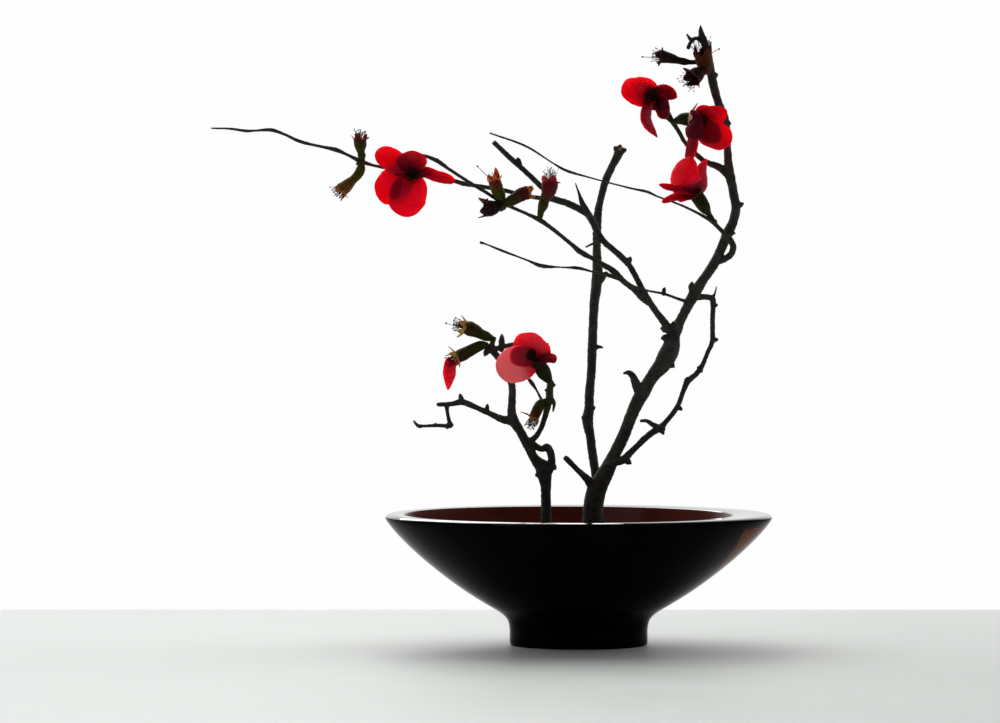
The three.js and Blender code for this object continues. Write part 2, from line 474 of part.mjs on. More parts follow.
// Joins a geometry's shared corners and drops the slivers that this closes up.
function solidOf(source) {
  const geometry = source.clone();
  geometry.deleteAttribute('normal');
  geometry.deleteAttribute('uv');
  const merged = mergeVertices(geometry, 1e-4);
  const corners = merged.index.array;
  const triangles = [];
  for (let i = 0; i < corners.length; i += 3) {
    const [a, b, c] = [corners[i], corners[i + 1], corners[i + 2]];
    if (a !== b && b !== c && c !== a) triangles.push(a, b, c);
  }
  return new wasm.Manifold(new wasm.Mesh({
    numProp: 3,
    vertProperties: new Float32Array(merged.attributes.position.array),
    triVerts: new Uint32Array(triangles),
  }));
}

function joined(solids) {
  return solids.reduce((whole, next) => whole.add(next));
}

function largestOf(solid) {
  const pieces = solid.decompose();
  return pieces.reduce((best, piece) => (piece.volume() > best.volume() ? piece : best));
}

function geometryOf(solid) {
  const { vertProperties, triVerts, numProp } = solid.getMesh();
  const positions = [];
  for (const corner of triVerts) {
    const start = corner * numProp;
    positions.push(vertProperties[start], vertProperties[start + 1], vertProperties[start + 2]);
  }
  const geometry = new THREE.BufferGeometry();
  geometry.setAttribute('position', new THREE.Float32BufferAttribute(positions, 3));
  geometry.computeVertexNormals();
  return geometry;
}

// A solid skinned over closed rings of points, with a flat cap on the first and the last.
function skinned(rings) {
  const count = rings[0].length;
  const positions = [];
  for (const ring of rings) for (const p of ring) positions.push(p.x, p.y, p.z);
  const index = [];
  for (let r = 0; r + 1 < rings.length; r++) {
    for (let k = 0; k < count; k++) {
      const a = r * count + k;
      const b = r * count + (k + 1) % count;
      index.push(a, b, a + count, b, b + count, a + count);
    }
  }
  const last = (rings.length - 1) * count;
  for (let k = 1; k + 1 < count; k++) {
    index.push(0, k + 1, k);
    index.push(last, last + k, last + k + 1);
  }
  const geometry = new THREE.BufferGeometry();
  geometry.setAttribute('position', new THREE.Float32BufferAttribute(positions, 3));
  geometry.setIndex(index);
  return solidOf(geometry);
}

// A solid turned about the vertical axis from [radius, height] points.
function turned(profile, segments, x = 0, y = 0) {
  const points = profile.map(([radius, height]) => new THREE.Vector2(radius, height));
  const geometry = new THREE.LatheGeometry(points, segments);
  geometry.rotateX(Math.PI / 2);
  geometry.translate(x, y, 0);
  return solidOf(geometry);
}

// A repeatable draw between 0 and 1 for a pair of whole numbers.
function draw(i, k) {
  const wave = Math.sin(i * 12.9898 + k * 78.233) * 43758.5453;
  return wave - Math.floor(wave);
}

// ---------------------------------------------------------------- from the front view to space

function seen([x, z, depth]) {
  const share = (depth - EYE.y) / -EYE.y;
  return new THREE.Vector3(EYE.x + (x - EYE.x) * share, depth, EYE.z + (z - EYE.z) * share);
}

function ring(centre, tangent, normal, radius, sides, rough = () => 0) {
  const across = new THREE.Vector3().crossVectors(tangent, normal);
  const points = [];
  for (let k = 0; k < sides; k++) {
    const angle = 2 * Math.PI * k / sides;
    const reach = radius * (1 + rough(k));
    points.push(centre.clone()
      .addScaledVector(normal, reach * Math.cos(angle))
      .addScaledVector(across, reach * Math.sin(angle)));
  }
  return points;
}

// Frames along a curve through the points, each turned as little as possible from the last.
function framesAlong(centres) {
  const curve = new THREE.CatmullRomCurve3(centres, false, 'centripetal');
  const frames = [];
  let normal = null;
  centres.forEach((centre, i) => {
    const tangent = curve.getTangent(i / (centres.length - 1));
    if (!normal) {
      const guide = Math.abs(tangent.y) < 0.8 ? new THREE.Vector3(0, 1, 0) : new THREE.Vector3(1, 0, 0);
      normal = guide;
    }
    normal = normal.clone().addScaledVector(tangent, -normal.dot(tangent)).normalize();
    frames.push({ centre, tangent, normal });
  });
  return frames;
}

// A tapering limb through [x, z, depth, radius] points.
function limb(points, sides, grow = 0, bark = 0, seed = 0) {
  const frames = framesAlong(points.map(seen));
  frames[0].centre.addScaledVector(frames[0].tangent, -grow);
  frames.at(-1).centre.addScaledVector(frames.at(-1).tangent, grow);
  const rings = frames.map(({ centre, tangent, normal }, i) => {
    const rough = (k) => bark * (2 * draw(seed + i, k) - 1);
    return ring(centre, tangent, normal, points[i][3] + grow, sides, rough);
  });
  return skinned(rings);
}

function bud([x, z, depth, radius, reachX, reachZ], grow) {
  const tip = [x + reachX, z + reachZ, depth - 0.6, radius * 0.55];
  return limb([[x, z, depth, radius * 1.15], tip], 3, grow);
}

function branch({ limbs, buds, bark }, grow) {
  const solids = limbs.map(({ points, sides }, i) => limb(points, sides, grow, bark, 100 * i));
  return joined([...solids, ...buds.map((one) => bud(one, grow))]);
}

// ---------------------------------------------------------------- blades

// A thin blade: rows of points across the face, skinned on both sides with the same split.
function blade(rowsOfPoints, rowsOfNormals, thickness) {
  const rows = rowsOfPoints.length;
  const columns = rowsOfPoints[0].length;
  const positions = [];
  for (const side of [0.5, -0.5]) {
    rowsOfPoints.forEach((row, i) => row.forEach((point, j) => {
      const p = point.clone().addScaledVector(rowsOfNormals[i][j], side * thickness);
      positions.push(p.x, p.y, p.z);
    }));
  }
  const half = rows * columns;
  const index = [];
  const quad = (a, b, c, d) => index.push(a, b, c, a, c, d);
  for (let i = 0; i + 1 < rows; i++) {
    for (let j = 0; j + 1 < columns; j++) {
      const a = i * columns + j;
      quad(a, a + 1, a + columns + 1, a + columns);
      index.push(half + a, half + a + columns + 1, half + a + 1);
      index.push(half + a, half + a + columns, half + a + columns + 1);
    }
  }
  const border = [];
  for (let j = 0; j < columns; j++) border.push(j);
  for (let i = 1; i < rows; i++) border.push(i * columns + columns - 1);
  for (let j = columns - 2; j >= 0; j--) border.push((rows - 1) * columns + j);
  for (let i = rows - 2; i > 0; i--) border.push(i * columns);
  border.forEach((a, k) => {
    const b = border[(k + 1) % border.length];
    quad(b, a, half + a, half + b);
  });
  const geometry = new THREE.BufferGeometry();
  geometry.setAttribute('position', new THREE.Float32BufferAttribute(positions, 3));
  geometry.setIndex(index);
  return solidOf(geometry);
}

// A petal from its root to its tip, its sides lifted towards the way it faces. claw is the share
// of its width at the root, widest the share of its length where it is widest, and blunt how
// round its tip is, from pointed (0) to square (1).
function petal({ path, width, face, cup = 0.3, blunt = 0.3, claw = 0.1, widest = 0.55 }, root, grow = 0) {
  const rows = 4;
  const columns = 3;
  const power = 1.3 + 2.6 * blunt;
  const curve = new THREE.CatmullRomCurve3([root, ...path.map(seen)], false, 'centripetal');
  const inside = new THREE.Vector3(...face);
  const points = [];
  const normals = [];
  for (let i = 0; i <= rows; i++) {
    const u = 1 - (1 - i / rows) ** 1.5;
    const tangent = curve.getTangentAt(u);
    const side = new THREE.Vector3().crossVectors(tangent, inside).normalize();
    const normal = new THREE.Vector3().crossVectors(side, tangent);
    const past = (u - widest) / (1 - widest);
    const share = u < widest
      ? claw + (1 - claw) * Math.sin(Math.PI / 2 * u / widest)
      : Math.max(0.08, 1 - past ** power) ** (1 / power);
    const half = width / 2 * share;
    const end = i === 0 ? -grow : i === rows ? grow : 0;
    const middle = curve.getPointAt(u).addScaledVector(tangent, end);
    const rowPoints = [];
    const rowNormals = [];
    for (let j = 0; j <= columns; j++) {
      const v = 2 * j / columns - 1;
      rowPoints.push(middle.clone()
        .addScaledVector(side, v * (half + grow))
        .addScaledVector(normal, cup * half * v * v));
      rowNormals.push(normal.clone().addScaledVector(side, -2 * cup * v).normalize());
    }
    points.push(rowPoints);
    normals.push(rowNormals);
  }
  return blade(points, normals, PETAL_THICKNESS + 2 * grow);
}

// The petals of a bloom, rooted round the edge of its hub.
function petalsOf({ petals, hub, axis }, grow = 0) {
  const disc = new THREE.CylinderGeometry(HUB_RADIUS + grow, HUB_RADIUS + grow, HUB_HEIGHT + 2 * grow, 6);
  const up = new THREE.Vector3(...axis).normalize();
  disc.applyQuaternion(new THREE.Quaternion().setFromUnitVectors(new THREE.Vector3(0, 1, 0), up));
  const middle = seen(hub);
  disc.translate(...middle);
  const blades = petals.map((one) => {
    const out = seen(one.path[0]).sub(middle);
    out.addScaledVector(up, -out.dot(up)).setLength(HUB_RADIUS * 0.65);
    return petal(one, middle.clone().add(out), grow);
  });
  return joined([solidOf(disc), ...blades]);
}

// ---------------------------------------------------------------- calyx and stamens

// A fleshy green tube that ends in a cup, with five pointed sepals raised from the cup's edge.
// Round the tube, sepal tips and notches take turns.
function calyxOf({ calyx, sepals }, grow = 0) {
  const sides = 2 * SEPALS;
  const frames = framesAlong(calyx.map(seen));
  const mouth = frames.at(-1);
  const rim = calyx.at(-1)[3];
  const tips = sepalTips(mouth, rim, sepals);
  for (const frame of frames) frame.normal.applyAxisAngle(frame.tangent, tips.turn);
  frames[0].centre.addScaledVector(frames[0].tangent, -grow);
  const rings = frames.map(({ centre, tangent, normal }, i) =>
    ring(centre, tangent, normal, calyx[i][3] + grow, sides));
  const inside = (radius, drop) => ring(
    mouth.centre.clone().addScaledVector(mouth.tangent, -drop),
    mouth.tangent, mouth.normal, radius - grow, sides);
  const outerEdge = rings.at(-1).map((point) => point.clone().addScaledVector(mouth.tangent, 0.3 + grow));
  const innerEdge = inside(rim - CALYX_WALL, -0.3 - grow);
  tips.ends.forEach((tip, k) => {
    const root = rings.at(-1)[2 * k];
    const along = tip.clone().sub(root).normalize();
    const inward = mouth.centre.clone().sub(root).addScaledVector(mouth.tangent, rim * 0.5);
    inward.addScaledVector(along, -inward.dot(along)).normalize();
    outerEdge[2 * k] = tip.clone().addScaledVector(along, grow).addScaledVector(inward, -grow);
    innerEdge[2 * k] = tip.clone().addScaledVector(along, grow)
      .addScaledVector(inward, SEPAL_THICKNESS + grow);
  });
  const floor = inside((rim - CALYX_WALL) * 0.75, CUP_DEPTH * rim - grow);
  return skinned([...rings, outerEdge, innerEdge, inside(rim - CALYX_WALL, 0), floor]);
}

// The five sepal tips, turned so that the first one falls where it is given.
function sepalTips({ centre, tangent, normal }, rim, { length, flare, tips = [] }) {
  const across = new THREE.Vector3().crossVectors(tangent, normal);
  const given = tips.map((tip) => {
    const end = seen(tip);
    const out = end.clone().sub(centre);
    return { end, angle: Math.atan2(out.dot(across), out.dot(normal)) };
  });
  const turn = given.length ? given[0].angle : 0.3;
  const ends = [];
  for (let k = 0; k < SEPALS; k++) {
    const angle = turn + 2 * Math.PI * k / SEPALS;
    const match = given.find((one) => Math.cos(one.angle - angle) > Math.cos(Math.PI / SEPALS));
    const out = normal.clone().multiplyScalar(Math.cos(angle)).addScaledVector(across, Math.sin(angle));
    const reach = length * (0.85 + 0.3 * draw(Math.round(length * 10), k));
    ends.push(match ? match.end : centre.clone()
      .addScaledVector(out, rim + reach * Math.sin(flare))
      .addScaledVector(tangent, reach * Math.cos(flare)));
  }
  return { turn, ends };
}

// Stamens: a small core whose top is raised into slim filaments, each ending in an anther, and
// in some blooms one longer style in the middle of them.
function stamensOf({ from, axis, count, length, spread, core, style }, seed) {
  const guide = Math.abs(axis.y) < 0.8 ? new THREE.Vector3(0, 1, 0) : new THREE.Vector3(1, 0, 0);
  const normal = guide.addScaledVector(axis, -guide.dot(axis)).normalize();
  const height = length * 0.25;
  const top = from.clone().addScaledVector(axis, height);
  const bottomRing = ring(from, axis, normal, core * 0.8, count);
  const topRing = ring(top, axis, normal, core, count);
  const filaments = topRing.map((point, k) => {
    const next = topRing[(k + 1) % count];
    const out = point.clone().add(next).multiplyScalar(0.5).sub(top).normalize();
    const tilt = spread * (k % 2 ? 0.45 : 1);
    const way = axis.clone().multiplyScalar(Math.cos(tilt)).addScaledVector(out, Math.sin(tilt));
    const reach = length * (0.7 + 0.3 * draw(seed, k));
    return filament([top, point, next], way, reach);
  });
  if (style) {
    // The style stands on the side that it leans to, so that it doesn't cross the filaments.
    const way = seen(style).sub(top);
    const lean = topRing.map((point, k) => point.clone().add(topRing[(k + 1) % count]).dot(way));
    const k = lean.indexOf(Math.max(...lean));
    const foot = [top, topRing[k], topRing[(k + 1) % count]];
    filaments[k] = filament(foot, way.clone().normalize(), way.length());
  }
  return surfaceOf([...collar(bottomRing, topRing), ...fan(bottomRing), ...filaments.flat()]);
}

// The triangles of a filament that rises from a triangle of the core's top.
function filament(foot, way, reach) {
  const middle = foot[0].clone().add(foot[1]).add(foot[2]).divideScalar(3);
  const normal = foot[1].clone().sub(middle);
  normal.addScaledVector(way, -normal.dot(way)).normalize();
  const at = (distance, radius) => {
    const centre = middle.clone().addScaledVector(way, distance);
    const points = ring(centre, way, normal, radius, 3);
    return [points[2], points[0], points[1]];
  };
  const rings = [foot, at(0.3, FILAMENT_RADIUS), at(reach - 2 * ANTHER_RADIUS, FILAMENT_RADIUS * 0.8),
    at(reach - ANTHER_RADIUS, ANTHER_RADIUS)];
  const sides = rings.slice(1).flatMap((upper, i) => collar(rings[i], upper));
  const tip = middle.clone().addScaledVector(way, reach);
  const [a, b, c] = rings.at(-1);
  return [...sides, [a, b, tip], [b, c, tip], [c, a, tip]];
}

// Triangles between two rings of points, looking out.
function collar(lower, upper) {
  return lower.flatMap((point, k) => {
    const next = (k + 1) % lower.length;
    return [[point, lower[next], upper[next]], [point, upper[next], upper[k]]];
  });
}

// Triangles that close a ring from below.
function fan(points) {
  return points.slice(1, -1).map((point, k) => [points[0], points[k + 2], point]);
}

function surfaceOf(triangles) {
  const geometry = new THREE.BufferGeometry();
  geometry.setFromPoints(triangles.flat());
  return solidOf(geometry);
}

// ---------------------------------------------------------------- bowl, pin holder and water

// Turned, with a rounded lip and a flat ledge that falls a little towards the opening.
function bowl() {
  const outside = turned([
    [0, 0], [FOOT_RADIUS - 1.2, 0], [FOOT_RADIUS, 1.5], [54.2, 16.4], [61.4, 25.7], [71.8, 31.9],
    [89, 42.8], [107.9, 56.7], [124.7, 70.7], [139, 84.6], [BOWL_RADIUS, 99.3],
    [145.6, BOWL_HEIGHT], [115, BOWL_HEIGHT - 0.9], [0, BOWL_HEIGHT - 0.9],
  ], BOWL_SEGMENTS);
  return outside.subtract(hollow(0, BOWL_HEIGHT + 1));
}

// The bowl's inside, filled up to a level and drawn in all round by an inset.
function hollow(inset, level) {
  const wall = [[60, BOWL_FLOOR], [72, 42], [94.5, 58.3], [113, 74], [124.5, 88],
    [OPENING_RADIUS, BOWL_HEIGHT], [OPENING_RADIUS, BOWL_HEIGHT + 1]];
  const above = wall.findIndex(([, height]) => height > level);
  const kept = above < 0 ? wall : wall.slice(0, above);
  const profile = kept.map(([radius, height]) => [radius - inset, height + inset]);
  if (above > 0) {
    const [lowRadius, low] = wall[above - 1];
    const [highRadius, high] = wall[above];
    profile.push([lowRadius + (highRadius - lowRadius) * (level - low) / (high - low) - 2 * inset, level]);
  }
  return turned([[0, BOWL_FLOOR + inset], ...profile, [0, level]], BOWL_SEGMENTS, OPENING_SHIFT);
}

// A lead plate set with brass needles. Needles under a stem are inside the wood and are left out.
function pinHolder() {
  const base = BOWL_FLOOR + GAP;
  const plate = turned([[0, base], [HOLDER_RADIUS - 1, base], [HOLDER_RADIUS, base + 1],
    [HOLDER_RADIUS, PLATE_TOP - 1], [HOLDER_RADIUS - 1, PLATE_TOP], [0, PLATE_TOP]],
  24, HOLDER_X, HOLDER_Y);
  const feet = [TALL_BRANCH, UPRIGHT_BRANCH, LOW_BRANCH].map(({ limbs }) => limbs[0].points[0]);
  const needles = [];
  const rowPitch = NEEDLE_PITCH * Math.sqrt(3) / 2;
  const rows = Math.floor(HOLDER_RADIUS / rowPitch);
  for (let row = -rows; row <= rows; row++) {
    for (let column = -rows; column <= rows; column++) {
      const x = HOLDER_X + (column + (row % 2 ? 0.5 : 0)) * NEEDLE_PITCH;
      const y = HOLDER_Y + row * rowPitch;
      const onPlate = Math.hypot(x - HOLDER_X, y - HOLDER_Y) < HOLDER_RADIUS - 4;
      const underStem = feet.some((foot) => {
        const middle = seen(foot);
        return Math.hypot(x - middle.x, y - middle.y) < foot[3] + NEEDLE_ROOM;
      });
      if (onPlate && !underStem) needles.push(needle(x, y));
    }
  }
  return joined([plate, ...needles]);
}

function needle(x, y) {
  const geometry = new THREE.CylinderGeometry(NEEDLE_RADIUS * 0.35, NEEDLE_RADIUS, NEEDLE_LENGTH + 2, 3);
  geometry.rotateX(Math.PI / 2);
  geometry.translate(x, y, PLATE_TOP + NEEDLE_LENGTH / 2 - 1);
  return solidOf(geometry);
}

// Water up to its level, with room for the pin holder, open below.
function water() {
  const room = turned([[0, 0], [HOLDER_RADIUS + 2 * GAP, 0],
    [HOLDER_RADIUS + 2 * GAP, NEEDLE_TOP + 2 * GAP], [0, NEEDLE_TOP + 2 * GAP]], 20, HOLDER_X, HOLDER_Y);
  return hollow(GAP, WATER_LEVEL).subtract(room);
}

// ---------------------------------------------------------------- the arrangement

const arrangement = new THREE.Group();
const placed = [];

function near(a, b) {
  const one = a.boundingBox();
  const two = b.boundingBox();
  return [0, 1, 2].every((k) => one.min[k] < two.max[k] && two.min[k] < one.max[k]);
}

// Adds a piece, cut clear of the pieces placed before it, of which grown copies are kept.
function place(name, material, make) {
  let solid = make(0);
  for (const other of placed) {
    if (near(solid, other)) solid = solid.subtract(other);
  }
  placed.push(make(GAP));
  const mesh = new THREE.Mesh(geometryOf(largestOf(solid)), material);
  mesh.name = name;
  arrangement.add(mesh);
}

function addWhole(name, material, solid) {
  const mesh = new THREE.Mesh(geometryOf(solid), material);
  mesh.name = name;
  arrangement.add(mesh);
}

// Where a bloom's stamens stand and which way they point.
function stamenSeat(spec) {
  if (spec.hub) {
    const up = new THREE.Vector3(...spec.axis).normalize();
    return { from: seen(spec.hub).addScaledVector(up, HUB_HEIGHT / 2 + GAP), axis: up };
  }
  const mouth = framesAlong(spec.calyx.map(seen)).at(-1);
  const depth = spec.calyx.at(-1)[3] * CUP_DEPTH - CALYX_ROOM * GAP;
  return { from: mouth.centre.clone().addScaledVector(mouth.tangent, -depth), axis: mouth.tangent };
}

addWhole('bowl', LACQUER, bowl());
addWhole('pin_holder', METAL, pinHolder());
placed.push(turned([[0, 0], [HOLDER_RADIUS, 0], [HOLDER_RADIUS, PLATE_TOP + GAP], [0, PLATE_TOP + GAP]],
  24, HOLDER_X, HOLDER_Y));

place('branch_tall', BARK, (grow) => branch(TALL_BRANCH, grow));
place('branch_upright', BARK, (grow) => branch(UPRIGHT_BRANCH, grow));
place('branch_low', BARK, (grow) => branch(LOW_BRANCH, grow));

for (const [name, spec] of Object.entries(BLOOMS)) {
  const red = name === 'bloom_low' ? PETAL_PALE : PETAL_RED;
  place(`${name}_petals`, red, (grow) => petalsOf(spec, grow));
}
for (const [name, spec] of Object.entries(SPENT)) {
  if (!spec.petal) continue;
  place(`${name}_petal`, PETAL_RED, (grow) => petal(spec.petal, seen(spec.petal.root), grow));
}
for (const [name, spec] of Object.entries(BLOOMS)) {
  place(`${name}_calyx`, CALYX_GREEN, (grow) => calyxOf(spec, CALYX_ROOM * grow));
}
for (const [name, spec] of Object.entries(SPENT)) {
  place(`${name}_calyx`, CALYX_SPENT, (grow) => calyxOf(spec, CALYX_ROOM * grow));
}
Object.entries({ ...BLOOMS, ...SPENT }).forEach(([name, spec], seed) => {
  place(`${name}_stamens`, STAMEN_DARK, () => stamensOf({ ...spec.stamens, ...stamenSeat(spec) }, seed));
});

const stems = placed.slice(1, 4);
addWhole('water', WATER, stems.reduce((rest, stem) => rest.subtract(stem), water()));

export default arrangement;
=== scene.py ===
import math

import bpy
import numpy as np
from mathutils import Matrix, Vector, kdtree, noise


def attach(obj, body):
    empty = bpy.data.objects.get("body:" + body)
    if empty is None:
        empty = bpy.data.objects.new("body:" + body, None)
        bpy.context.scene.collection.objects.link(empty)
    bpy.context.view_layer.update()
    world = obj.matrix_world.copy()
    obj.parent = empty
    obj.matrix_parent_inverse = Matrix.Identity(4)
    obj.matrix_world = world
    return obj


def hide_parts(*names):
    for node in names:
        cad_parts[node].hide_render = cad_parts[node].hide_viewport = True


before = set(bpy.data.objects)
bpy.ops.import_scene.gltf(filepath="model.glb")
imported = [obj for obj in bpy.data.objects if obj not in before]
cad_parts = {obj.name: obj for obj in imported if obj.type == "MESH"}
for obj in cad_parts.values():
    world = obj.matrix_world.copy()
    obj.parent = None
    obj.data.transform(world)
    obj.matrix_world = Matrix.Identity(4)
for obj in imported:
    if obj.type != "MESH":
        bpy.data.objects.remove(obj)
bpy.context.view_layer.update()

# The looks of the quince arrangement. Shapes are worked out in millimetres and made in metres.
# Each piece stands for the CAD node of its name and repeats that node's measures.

MM = 0.001

# ---------------------------------------------------------------- driving dimensions

GAP = 0.3

BOWL_RADIUS = 150
BOWL_HEIGHT = 102
OPENING_RADIUS = 127.7
OPENING_SHIFT = -7.9
BOWL_FLOOR = 38
WATER_LEVEL = 80

HOLDER_RADIUS = 36
HOLDER_X = -1
HOLDER_Y = 4
HOLDER_PLATE = 8
NEEDLE_LENGTH = 12
NEEDLE_PITCH = 3.6
NEEDLE_RADIUS = 0.6
NEEDLE_TIP = 0.12
PLATE_TOP = BOWL_FLOOR + GAP + HOLDER_PLATE
STEM_FOOT = PLATE_TOP - 1

SEPALS = 5
CUP_DEPTH = 0.7
CALYX_WALL = 0.9
CALYX_ROOM = 1.5
HUB_RADIUS = 2.6
HUB_HEIGHT = 1.6

# Points are laid out as they are seen from the front: [x, z] in the plane through the bowl's
# axis, and the depth behind that plane (minus is nearer).
EYE = np.array([-61.0, -4800.0, 340.0])


def foot_point(x, depth, radius):
    """The point where a stem starts, straight under what shows of it."""
    share = (depth - EYE[1]) / -EYE[1]
    return [x, EYE[2] + (STEM_FOOT - EYE[2]) / share, depth, radius]


def seen(point):
    """Where a point [x, z, depth] of the front view lies in space."""
    x, z, depth = point[:3]
    share = (depth - EYE[1]) / -EYE[1]
    return np.array([EYE[0] + (x - EYE[0]) * share, depth, EYE[2] + (z - EYE[2]) * share])


# ---------------------------------------------------------------- branches
# Each point is [x, z, depth, radius].

